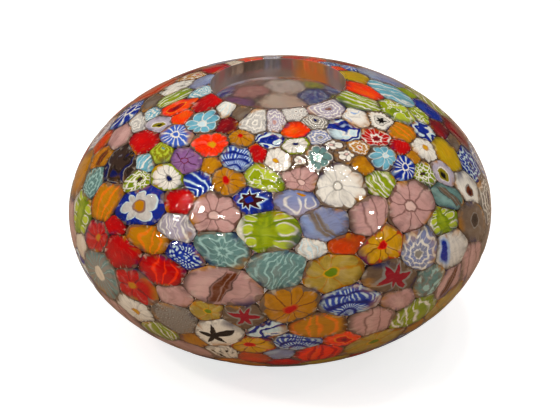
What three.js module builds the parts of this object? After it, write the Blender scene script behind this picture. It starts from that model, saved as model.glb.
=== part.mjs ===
// A closed-form bowl of blown mosaic glass: several hundred slices of patterned cane (murrine) picked up on a
// clear gather, cased in a thin clear coat, blown to a flattened globe, then cut open at the mouth and ground
// flat underneath. Millimetres, +Z up, origin at the centre of the ground base.
//
// Every wall surface is an ellipsoid about one centre, shrunk by its depth below the outer skin and cut by
// the floor. The murrine are fused to their neighbours, so each mesh here is a patch of several whole slices.
import * as THREE from "three";
import { ConvexHull } from "three/addons/math/ConvexHull.js";

// Driving dimensions of the blown shape.
const OUTER_RADIUS = 75;
const OUTER_HALF_HEIGHT = 49.2; // of the full ellipsoid, before the base is ground away
const BASE_RADIUS = 31;
const MOUTH_RADIUS = 23.1;
const LIP_ROUNDING = 1.4;
const LIP_DROP = 0.6;

// Depths of the layers below the outer skin.
const CASING_THICKNESS = 1.0;
// The clear glass is fused to the slices. The gaps keep the flat facets of the meshes apart.
const CASING_GAP = 0.45;
const GATHER_GAP = 0.75;
const MURRINA_THICKNESS = 2.7;
const WALL_THICKNESS = 8.4;
const FLOOR_THICKNESS = 8.4;
const MURRINA_TOP = CASING_THICKNESS + CASING_GAP;
const MURRINA_BACK = MURRINA_TOP + MURRINA_THICKNESS;
const GATHER_TOP = MURRINA_BACK + GATHER_GAP;
const GROOVE_DEPTH = 0.3; // the fused seam between two slices lies this far below their crowns
const RIM_SETBACK = 0.6; // from the cut wall of the mouth to the nearest slice

// The slices on the front, laid by hand: bearing from the front in degrees, latitude above the widest line
// on the ellipse's own angle, half the slice's width before its neighbours pressed on it, and the cane it was
// cut from, as its main colour and its pattern.
const LAID_SLICES = [
  // Round the mouth.
  [-28, 67, 4.5, "smoke.plain"], [-14, 64.5, 6, "white.lace"], [-3, 65, 7, "rose.threads"],
  [8, 68, 4.5, "white.rings"], [10, 62, 6, "orange.plain"], [22, 65, 5.5, "smoke.lace"],
  [36, 67, 5, "rose.rings"], [49, 63.5, 7, "white.swirl"], [66, 64.5, 5.5, "lime.threads"],
  [82, 65, 5.5, "orange.plain"], [106, 68, 5, "amber.plain"], [122, 69, 5.5, "orange.plain"],
  [136, 68, 5, "cobalt.lace"], [151, 68, 6, "orange.barrel"], [167, 68, 6, "red.plain"],
  [-175, 68, 6, "aqua.lace"], [-161, 68, 6, "orange.flower"], [-143, 68, 6.5, "white.plain"],
  [-129, 67, 6, "red.plain"], [-116, 65, 5.5, "amber.lace"], [-100, 69, 4.5, "lavender.plain"],
  [-103, 61, 7, "white.jags"], [-78, 69, 5, "aqua.lace"], [-60, 68.5, 5.5, "red.plain"],
  [-42, 69, 5, "white.threads"],
  // The upper shoulder.
  [-84, 58.5, 6, "lime.threads"], [-93, 53, 5.5, "smoke.plain"], [-72, 60.5, 7.5, "orange.eye"],
  [-61, 59, 6, "orange.plain"], [-45, 60.5, 8, "aqua.flower"], [-30, 62, 5, "red.dark"],
  [-20, 60, 6, "amber.eye"], [-30, 54.5, 7.5, "orange.flower"], [-17, 52, 8.5, "cobalt.zigzag"],
  [-9, 54.5, 6, "red.plain"], [-4.5, 58, 5, "cobalt.swirl"], [-2, 51.5, 8, "white.daisy"],
  [7.5, 57, 6.5, "lime.daisy"], [8, 50.5, 6, "white.petals"], [15, 52, 6.5, "aqua.outlined"],
  [21, 58.5, 5, "lavender.lace"], [23, 55, 5, "white.petals"], [27.5, 51, 4.5, "white.petals"],
  [35, 58, 6, "cobalt.swirl"], [35, 52, 4, "amber.lace"], [45.5, 53, 4.5, "red.threads"],
  [57, 56.5, 7, "white.sun"], [74, 54.5, 6.5, "lime.mottle"], [93, 58, 8.5, "aqua.threads"],
  [118, 57, 7, "lavender.plain"], [126, 63, 5.5, "cobalt.daisy"], [140, 61, 6, "red.dark"],
  // The lower shoulder.
  [-97, 47, 6, "cobalt.rays"], [-79, 52, 6, "aqua.lace"], [-78, 47, 6, "white.lace"],
  [-66, 53.5, 6.5, "lavender.eye"], [-63, 47, 6.5, "red.ball"], [-52, 54, 6.5, "cobalt.daisy"],
  [-50.5, 48, 6, "lime.rings"], [-37.5, 47, 6.5, "lavender.flower"], [-26.5, 48.5, 4.5, "amber.plain"],
  [-18, 44, 8, "amber.eye"], [-27, 41, 5.5, "cobalt.arcs"], [-6, 44.5, 6.5, "lime.mottle"],
  [8.5, 43.5, 8.5, "rose.flower"], [20, 41, 9.5, "white.flower"], [31, 45.5, 5, "amber.plain"],
  [41.5, 46, 7.5, "aqua.flower"], [52.5, 47, 4.5, "red.plain"], [46, 40.5, 6, "cobalt.rays"],
  [60, 50, 6.5, "amber.barrel"], [54, 42, 5.5, "amber.plain"], [61.5, 42, 6, "white.daisy"],
  [70, 45, 5.5, "cobalt.swirl"], [82, 48, 6, "lime.mottle"], [91, 46, 5.5, "cobalt.plain"],
  [101, 51, 5, "lime.plain"], [80, 42, 5, "red.dark"],
  // The front above the widest line.
  [-78, 42, 6, "rose.plain"], [-63, 38, 7.5, "smoke.navy"], [-53.5, 40, 5, "aqua.threads"],
  [-49, 36.5, 6, "lime.lace"], [-39, 40.5, 5.5, "lime.daisy"], [-29.5, 34, 7.5, "red.ball"],
  [-20, 32, 10, "rose.flower"], [-9, 37.5, 8.5, "cobalt.star"], [7, 37, 6.5, "lavender.cup"],
  [12, 29, 8.5, "lavender.stripe"], [-4, 28, 9, "lime.loops"], [27, 28.5, 8, "rose.barrel"],
  [34, 38, 5.5, "lime.threads"], [39.5, 28.5, 9.5, "rose.flower"], [51.5, 36, 5.5, "lime.lace"],
  [58, 32, 7, "lavender.eye"], [68.5, 36, 6.5, "amber.ball"], [79, 34, 6, "smoke.plain"],
  [56, 24.5, 6.5, "teal.stripe"], [76, 26, 6, "cobalt.lace"], [66, 20, 6.5, "white.eye"],
  [-74, 33, 6.5, "amber.stripe"], [-46, 28, 9, "cobalt.flower"], [-57, 22.5, 6.5, "amber.barrel"],
  [-71, 24, 6.5, "teal.lace"], [-30, 25.5, 6.5, "lavender.threads"], [-15, 20.5, 9, "teal.loops"],
  [8, 21.5, 4.5, "white.threads"], [18.5, 20.5, 6.5, "orange.deep"], [26.5, 18.5, 9, "amber.flower"],
  [-36, 19, 7, "amber.barrel"], [-52, 18, 4.5, "red.plain"], [-25, 17, 8.5, "cobalt.dots"],
  [-56, 11, 7.5, "red.flower"], [-45, 11.5, 7.5, "red.plain"], [-68, 13, 6.5, "lime.loops"],
  [-31, 9.5, 9, "red.barrel"], [-14, 8, 10, "rose.stripe"], [0, 14.5, 9, "teal.zigzag"],
  [11.5, 13.5, 9, "amber.glassy"], [37.5, 13.5, 9, "lavender.lace"], [48.5, 20, 8, "lime.loops"],
  [48.5, 8.5, 8.5, "white.core"], [63, 11, 7.5, "smoke.plain"], [29, 6, 9.5, "smoke.star"],
  // The front below it.
  [-40, 0, 9.5, "red.flower"], [-29, 1, 7, "rose.plain"], [-17.5, -2.5, 6.5, "amber.glassy"],
  [-9, -2.5, 9, "smoke.star"], [2.5, 0.5, 8, "amber.eye"], [16, 1.5, 9.5, "cobalt.zigzag"],
  [31, -3, 7, "rose.plain"], [41, -2.5, 7, "teal.mottle"], [49.5, -3.5, 6.5, "rose.stripe"],
  [60, -3, 6.5, "rose.barrel"], [-55, -4, 8.5, "teal.daisy"], [-41, -12.5, 8, "white.daisy"],
  [-27, -8.5, 8, "smoke.dots"], [-18, -14, 9, "white.star"], [-4, -10, 5.5, "cobalt.swirl"],
  [8.5, -8, 8.5, "amber.barrel"], [4, -15.5, 6.5, "cobalt.zigzag"], [24.5, -10, 8.5, "rose.barrel"],
  [35, -15, 7, "lime.threads"], [16.5, -18.5, 5.5, "orange.eye"], [-8.5, -17.5, 8, "amber.flower"],
  [-34, -20, 5.5, "lime.threads"], [-24, -21, 4.5, "amber.plain"], [-16, -26, 5, "white.jags"],
  [-9.5, -28, 6.5, "orange.deep"], [-1, -24, 5, "lavender.plain"], [10, -26, 7, "orange.barrel"],
  [26, -25, 7, "amber.glassy"], [-30, -28, 6.5, "rose.plain"],
];

// The rest of the scatter. The same numbers and steps always give the same layout.
const SCATTER_RADII = [7.4, 6.4, 5.5, 4.7, 4.0]; // half the slices' widths, dropped largest first
const TRIES_PER_SIZE = [40, 160, 600, 2500, 12000];
const SCATTER_SEED = 20;
const EDGE_CLEARANCE = 0.72; // of a slice's half width, kept from the mouth and from the base corner
const MOUTH_GUARDS = 11; // points across the mouth that close the net of neighbours and carry no slice
const MOUTH_GUARD_RADIUS = 15;

// The patches of fused slices.
const PATCHES = 56;
const PATCH_INSET = 0.18; // each patch stops this far short of its shared outline
const MAX_MITRE = 2.5; // times the inset, at the outline's sharpest corners

const CASING_SEGMENTS = 56;
const CASING_STEPS = 14;
const GATHER_SEGMENTS = 44;
const GATHER_STEPS = 12;

const CENTRE_Z = OUTER_HALF_HEIGHT * Math.sqrt(1 - (BASE_RADIUS / OUTER_RADIUS) ** 2);

// ---- The wall's surfaces ----

const radiusAt = (depth) => OUTER_RADIUS - depth;
const halfHeightAt = (depth) => OUTER_HALF_HEIGHT - depth;

// The parametric angle, above the widest line, at which the ellipse at a depth has a given radius.
const angleAtRadius = (depth, radius) => Math.acos(radius / radiusAt(depth));

// The parametric angle, below the widest line and so negative, at which it comes down to a given height.
const angleAtHeight = (depth, z) => Math.asin((z - CENTRE_Z) / halfHeightAt(depth));

// How far a direction from the ellipsoid's centre runs to the whole ellipsoid at a depth.
function reachOf({ x, y, z }, depth) {
  return 1 / Math.hypot(x / radiusAt(depth), y / radiusAt(depth), z / halfHeightAt(depth));
}

// The point where a direction from the ellipsoid's centre meets the surface at a depth, or the floor below.
function onSurface(direction, depth, floorZ) {
  const toFloor = direction.z < 0 ? (floorZ - CENTRE_Z) / direction.z : Infinity;
  const point = direction.clone().multiplyScalar(Math.min(reachOf(direction, depth), toFloor));
  point.z += CENTRE_Z;
  return point;
}

const crownPoint = (direction) => onSurface(direction, MURRINA_TOP, 0);
const seamPoint = (direction) => onSurface(direction, MURRINA_TOP + GROOVE_DEPTH, 0);
const backPoint = (direction) => onSurface(direction, MURRINA_BACK, MURRINA_THICKNESS);

// A direction from the ellipsoid's centre, by azimuth and polar angle from +Z.
function directionOf(azimuth, polar) {
  const across = Math.sin(polar);
  return new THREE.Vector3(across * Math.cos(azimuth), across * Math.sin(azimuth), Math.cos(polar));
}

const polarOf = (direction) => Math.acos(direction.z / direction.length());
const azimuthOf = (direction) => Math.atan2(direction.y, direction.x);

// The polar angles between which the slices lie on the wall: the mouth's edge, and the corner of the base.
const rimRadius = MOUTH_RADIUS + RIM_SETBACK;
const rimHeight = halfHeightAt(MURRINA_BACK) * Math.sin(angleAtRadius(MURRINA_BACK, rimRadius));
const RIM_POLAR = Math.atan2(rimRadius, rimHeight);
const cornerRadius = radiusAt(MURRINA_TOP) * Math.cos(angleAtHeight(MURRINA_TOP, 0));
const CORNER_POLAR = Math.atan2(cornerRadius, -CENTRE_Z);

// ---- The scatter of slices ----

// A linear congruential generator of numbers from 0 to 1.
function randomNumbers(seed) {
  const [FACTOR, STEP, RANGE] = [1664525, 1013904223, 2 ** 32];
  let state = seed;
  return () => {
    state = (state * FACTOR + STEP) % RANGE;
    return state / RANGE;
  };
}

// Where a slice laid by hand lies: its bearing is taken from -Y, the front, towards +X.
function laidSlice([bearing, latitude, radius, cane]) {
  const turn = THREE.MathUtils.degToRad(bearing - 90);
  const angle = THREE.MathUtils.degToRad(latitude);
  const out = OUTER_RADIUS * Math.cos(angle);
  const direction = new THREE.Vector3(
    out * Math.cos(turn),
    out * Math.sin(turn),
    OUTER_HALF_HEIGHT * Math.sin(angle),
  ).normalize();
  return { direction, at: crownPoint(direction), radius, cane };
}

// The slices laid by hand, then others dropped at random, the largest first. Each dropped slice keeps clear
// of those already down and of the layer's edges, and repeats the cane of one of the laid ones.
function layAllSlices() {
  const random = randomNumbers(SCATTER_SEED);
  const rim = crownPoint(directionOf(0, RIM_POLAR));
  const corner = crownPoint(directionOf(0, CORNER_POLAR));
  const slices = LAID_SLICES.map(laidSlice);
  SCATTER_RADII.forEach((radius, size) => {
    for (let i = 0; i < TRIES_PER_SIZE[size]; i++) {
      const height = 2 * random() - 1;
      const turn = 2 * Math.PI * random();
      const across = OUTER_RADIUS * Math.sqrt(1 - height * height);
      const direction = new THREE.Vector3(
        across * Math.cos(turn),
        across * Math.sin(turn),
        OUTER_HALF_HEIGHT * height,
      ).normalize();
      if (polarOf(direction) < RIM_POLAR) continue;
      const at = crownPoint(direction);
      const out = Math.hypot(at.x, at.y);
      const margin = EDGE_CLEARANCE * radius;
      if (Math.hypot(out - rim.x, at.z - rim.z) < margin) continue;
      if (Math.hypot(out - corner.x, at.z - corner.z) < margin) continue;
      if (slices.every((other) => at.distanceTo(other.at) >= radius + other.radius)) {
        const model = LAID_SLICES[Math.floor(random() * LAID_SLICES.length)];
        slices.push({ direction, at, radius, cane: model[3] });
      }
    }
  });
  return slices;
}

// Points across the mouth. They are neighbours to the slices around it, and their side of the net is cut off.
function mouthGuards() {
  const polar = Math.atan2(MOUTH_GUARD_RADIUS, OUTER_HALF_HEIGHT);
  const guards = [new THREE.Vector3(0, 0, 1)];
  for (let i = 0; i < MOUTH_GUARDS; i++) {
    guards.push(directionOf((2 * Math.PI * i) / MOUTH_GUARDS, polar));
  }
  return guards.map((direction) => ({ direction, radius: MOUTH_GUARD_RADIUS / 2, guard: true }));
}

// The net of neighbours: the convex hull of the points on the full ellipsoid, as triangles of their numbers.
function neighbourTriangles(points) {
  const spots = points.map(({ direction }) => direction.clone().multiplyScalar(reachOf(direction, 0)));
  const numberOf = new Map(spots.map((spot, i) => [spot, i]));
  return new ConvexHull().setFromPoints(spots).faces.map((face) => {
    const corners = [];
    let edge = face.edge;
    do {
      corners.push(numberOf.get(edge.head().point));
      edge = edge.next;
    } while (edge !== face.edge);
    return corners;
  });
}

// Where three neighbours meet: nearer the smaller ones, and on the mouth's edge or the base's corner if the
// three lie on both sides of it.
function meetingDirection(corners, points) {
  const middle = new THREE.Vector3();
  for (const i of corners) {
    const { direction, radius } = points[i];
    middle.addScaledVector(direction, reachOf(direction, 0) / radius);
  }
  middle.normalize();
  const underneath = corners.filter((i) => polarOf(points[i].direction) > CORNER_POLAR).length;
  if (corners.some((i) => points[i].guard)) return directionOf(azimuthOf(middle), RIM_POLAR);
  if (underneath === 1 || underneath === 2) return directionOf(azimuthOf(middle), CORNER_POLAR);
  return middle;
}

// Each slice's outline, as the numbers of the triangles around it, anticlockwise seen from outside.
function outlineSlices(slices, triangles) {
  const nextTriangle = slices.map(() => new Map()); // of each slice, by the neighbour that leads to it
  triangles.forEach((corners, t) => {
    corners.forEach((slice, k) => {
      if (slice < slices.length) {
        nextTriangle[slice].set(corners[(k + 1) % 3], { t, to: corners[(k + 2) % 3] });
      }
    });
  });
  return nextTriangle.map((around) => {
    const ring = [];
    const first = around.keys().next().value;
    let neighbour = first;
    do {
      const { t, to } = around.get(neighbour);
      ring.push({ meeting: t, neighbour });
      neighbour = to;
    } while (neighbour !== first);
    return ring;
  });
}

// ---- Patches of fused slices ----

// Starts each patch at the slice furthest from those chosen, then lets the smallest patch take its nearest
// free neighbour until none is left. Gives each slice the number of its patch.
function groupSlices(slices, outlines) {
  const starts = [0];
  while (starts.length < PATCHES) {
    const room = slices.map((s) => Math.min(...starts.map((i) => s.at.distanceTo(slices[i].at))));
    starts.push(room.indexOf(Math.max(...room)));
  }
  const patchOf = new Array(slices.length).fill(-1);
  const members = starts.map((start, patch) => {
    patchOf[start] = patch;
    return [start];
  });
  const candidate = (patch) => {
    let best = null;
    for (const member of members[patch]) {
      for (const { neighbour } of outlines[member]) {
        if (neighbour >= slices.length || patchOf[neighbour] !== -1) continue;
        const distance = slices[neighbour].at.distanceTo(slices[starts[patch]].at);
        if (!best || distance < best.distance) best = { neighbour, distance };
      }
    }
    return best;
  };
  for (;;) {
    const growing = members
      .map((list, patch) => ({ patch, size: list.length, next: candidate(patch) }))
      .filter(({ next }) => next)
      .sort((a, b) => a.size - b.size || a.next.distance - b.next.distance);
    if (!growing.length) return { patchOf, members };
    const { patch, next } = growing[0];
    patchOf[next.neighbour] = patch;
    members[patch].push(next.neighbour);
  }
}

// The patch's outline pulled in along the surface, so that it stops short of the patches round it. Gives the
// direction to use for each meeting on the outline.
function insetMeetings(edges, meetings) {
  const inset = new Map();
  const into = new Map(edges.map((edge) => [edge.to, edge]));
  for (const edge of edges) {
    const before = into.get(edge.from);
    const here = crownPoint(meetings[edge.from]);
    const outward = meetings[edge.from].clone();
    const sideways = [before, edge].map(({ from, to }) =>
      outward
        .clone()
        .cross(crownPoint(meetings[to]).sub(crownPoint(meetings[from])))
        .normalize(),
    );
    const mitre = sideways[0].clone().add(sideways[1]).normalize();
    const stretch = 1 / Math.max(mitre.dot(sideways[0]), 1 / MAX_MITRE);
    const moved = here.addScaledVector(mitre, PATCH_INSET * stretch);
    moved.z -= CENTRE_Z;
    inset.set(edge.from, moved.normalize());
  }
  return inset;
}

// One closed mesh of fused slices: a shallow crown and a flat back to each, and walls round the patch.
function patchGeometry(members) {
  const patch = patchOf[members[0]];
  const edges = [];
  for (const slice of members) {
    const ring = outlines[slice];
    ring.forEach(({ meeting }, k) => {
      // The side from this meeting to the next is shared with the next entry's neighbour.
      const next = ring[(k + 1) % ring.length];
      const across = next.neighbour < slices.length ? patchOf[next.neighbour] : -1;
      if (across !== patch) edges.push({ from: meeting, to: next.meeting });
    });
  }
  const inset = insetMeetings(edges, meetings);
  const directionAt = (meeting) => inset.get(meeting) ?? meetings[meeting];

  const positions = [];
  const triangle = (...corners) => corners.forEach(({ x, y, z }) => positions.push(x, y, z));
  for (const slice of members) {
    const crown = crownPoint(slices[slice].direction);
    const back = backPoint(slices[slice].direction);
    const ring = outlines[slice].map(({ meeting }) => directionAt(meeting));
    ring.forEach((from, k) => {
      const to = ring[(k + 1) % ring.length];
      triangle(crown, seamPoint(from), seamPoint(to));
      triangle(back, backPoint(to), backPoint(from));
    });
  }
  for (const edge of edges) {
    const [from, to] = [directionAt(edge.from), directionAt(edge.to)];
    triangle(seamPoint(from), backPoint(from), backPoint(to));
    triangle(seamPoint(from), backPoint(to), seamPoint(to));
  }
  const geometry = new THREE.BufferGeometry();
  geometry.setAttribute("position", new THREE.Float32BufferAttribute(positions, 3));
  geometry.computeVertexNormals();
  return geometry;
}

// ---- The two clear layers ----

// Turns a profile of radius and height, listed anticlockwise, into a solid standing on +Z.
function turned(profile, segments) {
  return new THREE.LatheGeometry(profile, segments).rotateX(Math.PI / 2);
}

// Points along the ellipse at a depth, between two parametric angles.
function arc(depth, from, to, steps) {
  const points = [];
  for (let i = 0; i <= steps; i++) {
    const angle = from + ((to - from) * i) / steps;
    const radius = radiusAt(depth) * Math.cos(angle);
    points.push(new THREE.Vector2(radius, CENTRE_Z + halfHeightAt(depth) * Math.sin(angle)));
  }
  return points;
}

// The outer coat: a thin skin from the ground base up to the rounded lip.
function casingGeometry() {
  const lipTop = CENTRE_Z + halfHeightAt(0) * Math.sin(angleAtRadius(0, MOUTH_RADIUS)) - LIP_DROP;
  const outside = arc(0, angleAtHeight(0, 0), angleAtRadius(0, MOUTH_RADIUS + LIP_ROUNDING), CASING_STEPS);
  const inside = arc(
    CASING_THICKNESS,
    angleAtRadius(CASING_THICKNESS, MOUTH_RADIUS),
    angleAtHeight(CASING_THICKNESS, 0),
    CASING_STEPS,
  );
  const lip = new THREE.Vector2(MOUTH_RADIUS, lipTop);
  return turned([...outside, lip, ...inside, outside[0].clone()], CASING_SEGMENTS);
}

// The inner gather: the clear bubble that carries the slices, with the cut mouth and the hollow inside.
function gatherGeometry() {
  const underside = MURRINA_THICKNESS + CASING_GAP;
  const outside = arc(
    GATHER_TOP,
    angleAtHeight(GATHER_TOP, underside),
    angleAtRadius(GATHER_TOP, MOUTH_RADIUS),
    GATHER_STEPS,
  );
  const inside = arc(
    WALL_THICKNESS,
    angleAtRadius(WALL_THICKNESS, MOUTH_RADIUS),
    angleAtHeight(WALL_THICKNESS, FLOOR_THICKNESS),
    GATHER_STEPS,
  );
  const bottom = new THREE.Vector2(0, underside);
  const floor = new THREE.Vector2(0, FLOOR_THICKNESS);
  return turned([bottom, ...outside, ...inside, floor], GATHER_SEGMENTS);
}

// ---- Materials ----

const clearGlass = new THREE.MeshStandardMaterial({
  color: 0xd6cdc2,
  roughness: 0.03,
  metalness: 0,
  transparent: true,
  opacity: 0.3,
});

const CANE_COLOURS = {
  red: 0xa8100c,
  orange: 0xe04a0a,
  amber: 0xcf8a0a,
  white: 0xe4ddd2,
  cobalt: 0x16267a,
  aqua: 0x6fb3c8,
  teal: 0x6d9490,
  lime: 0x86a516,
  rose: 0xbd8f88,
  lavender: 0x8e97bb,
  smoke: 0x6f5f55,
};
const caneGlass = {};
for (const [name, color] of Object.entries(CANE_COLOURS)) {
  caneGlass[name] = new THREE.MeshStandardMaterial({ color, roughness: 0.12, metalness: 0 });
}

// ---- Assembly ----

// Where on the bowl a patch lies, from the height of its middle.
const ZONES = [
  { name: "crown", above: CENTRE_Z + 0.72 * OUTER_HALF_HEIGHT },
  { name: "shoulder", above: CENTRE_Z + 0.3 * OUTER_HALF_HEIGHT },
  { name: "waist", above: CENTRE_Z - 0.25 * OUTER_HALF_HEIGHT },
  { name: "flank", above: CENTRE_Z - 0.68 * OUTER_HALF_HEIGHT },
  { name: "underside", above: 1 },
  { name: "base", above: -Infinity },
];

const bowl = new THREE.Group();

function addPart(name, geometry, material) {
  const mesh = new THREE.Mesh(geometry, material);
  mesh.name = name;
  bowl.add(mesh);
}

addPart("outer_casing", casingGeometry(), clearGlass);
addPart("inner_gather", gatherGeometry(), clearGlass);

const slices = layAllSlices();
const points = [...slices, ...mouthGuards()];
const triangles = neighbourTriangles(points);
const meetings = triangles.map((corners) => meetingDirection(corners, points));
const outlines = outlineSlices(slices, triangles);
const { patchOf, members } = groupSlices(slices, outlines);

const patches = members.map((list) => {
  const middle = new THREE.Vector3();
  list.forEach((slice) => middle.addScaledVector(slices[slice].at, 1 / list.length));
  const zone = ZONES.find(({ above }) => middle.z >= above).name;
  const mainColour = slices[list[0]].cane.split(".")[0];
  return { list, zone, azimuth: azimuthOf(middle), material: caneGlass[mainColour] };
});
patches.sort((a, b) => a.azimuth - b.azimuth);

const count = {};
for (const { list, zone, material } of patches) {
  count[zone] = (count[zone] ?? 0) + 1;
  const number = String(count[zone]).padStart(2, "0");
  addPart(`murrine_${zone}_${number}`, patchGeometry(list), material);
}

export default bowl;
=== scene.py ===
import math

import bmesh
import bpy
import numpy as np
from mathutils import Matrix, Vector, noise
from mathutils.bvhtree import BVHTree
from mathutils.kdtree import KDTree


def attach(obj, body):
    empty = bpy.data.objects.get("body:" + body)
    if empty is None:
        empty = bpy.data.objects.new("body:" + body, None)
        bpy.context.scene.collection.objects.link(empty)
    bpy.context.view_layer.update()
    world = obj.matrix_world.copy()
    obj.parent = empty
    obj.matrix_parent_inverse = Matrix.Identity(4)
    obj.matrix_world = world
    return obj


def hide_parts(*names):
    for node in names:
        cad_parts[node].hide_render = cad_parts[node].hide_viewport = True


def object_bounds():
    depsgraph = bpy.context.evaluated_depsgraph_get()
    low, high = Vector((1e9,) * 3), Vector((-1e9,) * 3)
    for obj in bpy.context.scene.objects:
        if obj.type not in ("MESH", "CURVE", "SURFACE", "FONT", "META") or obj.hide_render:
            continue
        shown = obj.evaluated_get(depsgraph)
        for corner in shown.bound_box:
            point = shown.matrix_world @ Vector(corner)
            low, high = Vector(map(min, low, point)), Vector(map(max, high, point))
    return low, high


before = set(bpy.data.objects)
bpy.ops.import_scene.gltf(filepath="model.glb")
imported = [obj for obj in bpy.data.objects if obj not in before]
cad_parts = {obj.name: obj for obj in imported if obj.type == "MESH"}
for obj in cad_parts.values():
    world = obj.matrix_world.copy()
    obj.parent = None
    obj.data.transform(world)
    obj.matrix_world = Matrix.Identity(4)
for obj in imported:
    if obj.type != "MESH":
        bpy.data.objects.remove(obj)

CAD_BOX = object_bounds()
MM = 0.001

# ---- The blown shape, as in the CAD ----

OUTER_RADIUS = (CAD_BOX[1].x - CAD_BOX[0].x) / 2
OUTER_HALF_HEIGHT = 0.656 * OUTER_RADIUS  # of the full ellipsoid, before the base is ground away
BASE_RADIUS = 31 * MM
MOUTH_RADIUS = 23.1 * MM
BASE_ROUNDING = 0.8 * MM
WALL_THICKNESS = 8.4 * MM
FLOOR_THICKNESS = 8.4 * MM

SLICE_TOP = 1.45 * MM  # depths below the outer skin
SLICE_BACK = 4.15 * MM
SLICE_DOME = 0.15 * MM  # the slices' edges lie this much deeper than their middles
SLICE_ROUNDING = 0.10 * MM
BASE_COVER = 0.35 * MM  # clear glass left under the ground slices
RIM_SETBACK = 0.6 * MM
RIM_LIFT = 0.95 * MM  # how far the slices rise towards the skin as the casing thins out at the lip
RIM_LIFT_BAND = 0.09
RIM_REACH = 2.1 * MM  # how much nearer the mouth the slices' faces come than in the CAD
RIM_BEVEL = 3.4 * MM  # how much further from the mouth the slices' backs end than their faces
SEAM = 0.03 * MM  # half the clear gap between two slices
WANDER = 0.011  # how far, as a share of the radius, the seams wander from straight lines
WANDER_SIZE = 0.085
WANDER_FADE = 0.09
WANDER_SEED = 7  # mathutils draws its noise vectors from the clock unless it is given a seed
RIM_BAND = 0.25  # the polar angle over which the slices are drawn back from the mouth

CENTRE = Vector((0, 0, OUTER_HALF_HEIGHT * math.sqrt(1 - (BASE_RADIUS / OUTER_RADIUS) ** 2)))

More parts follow.
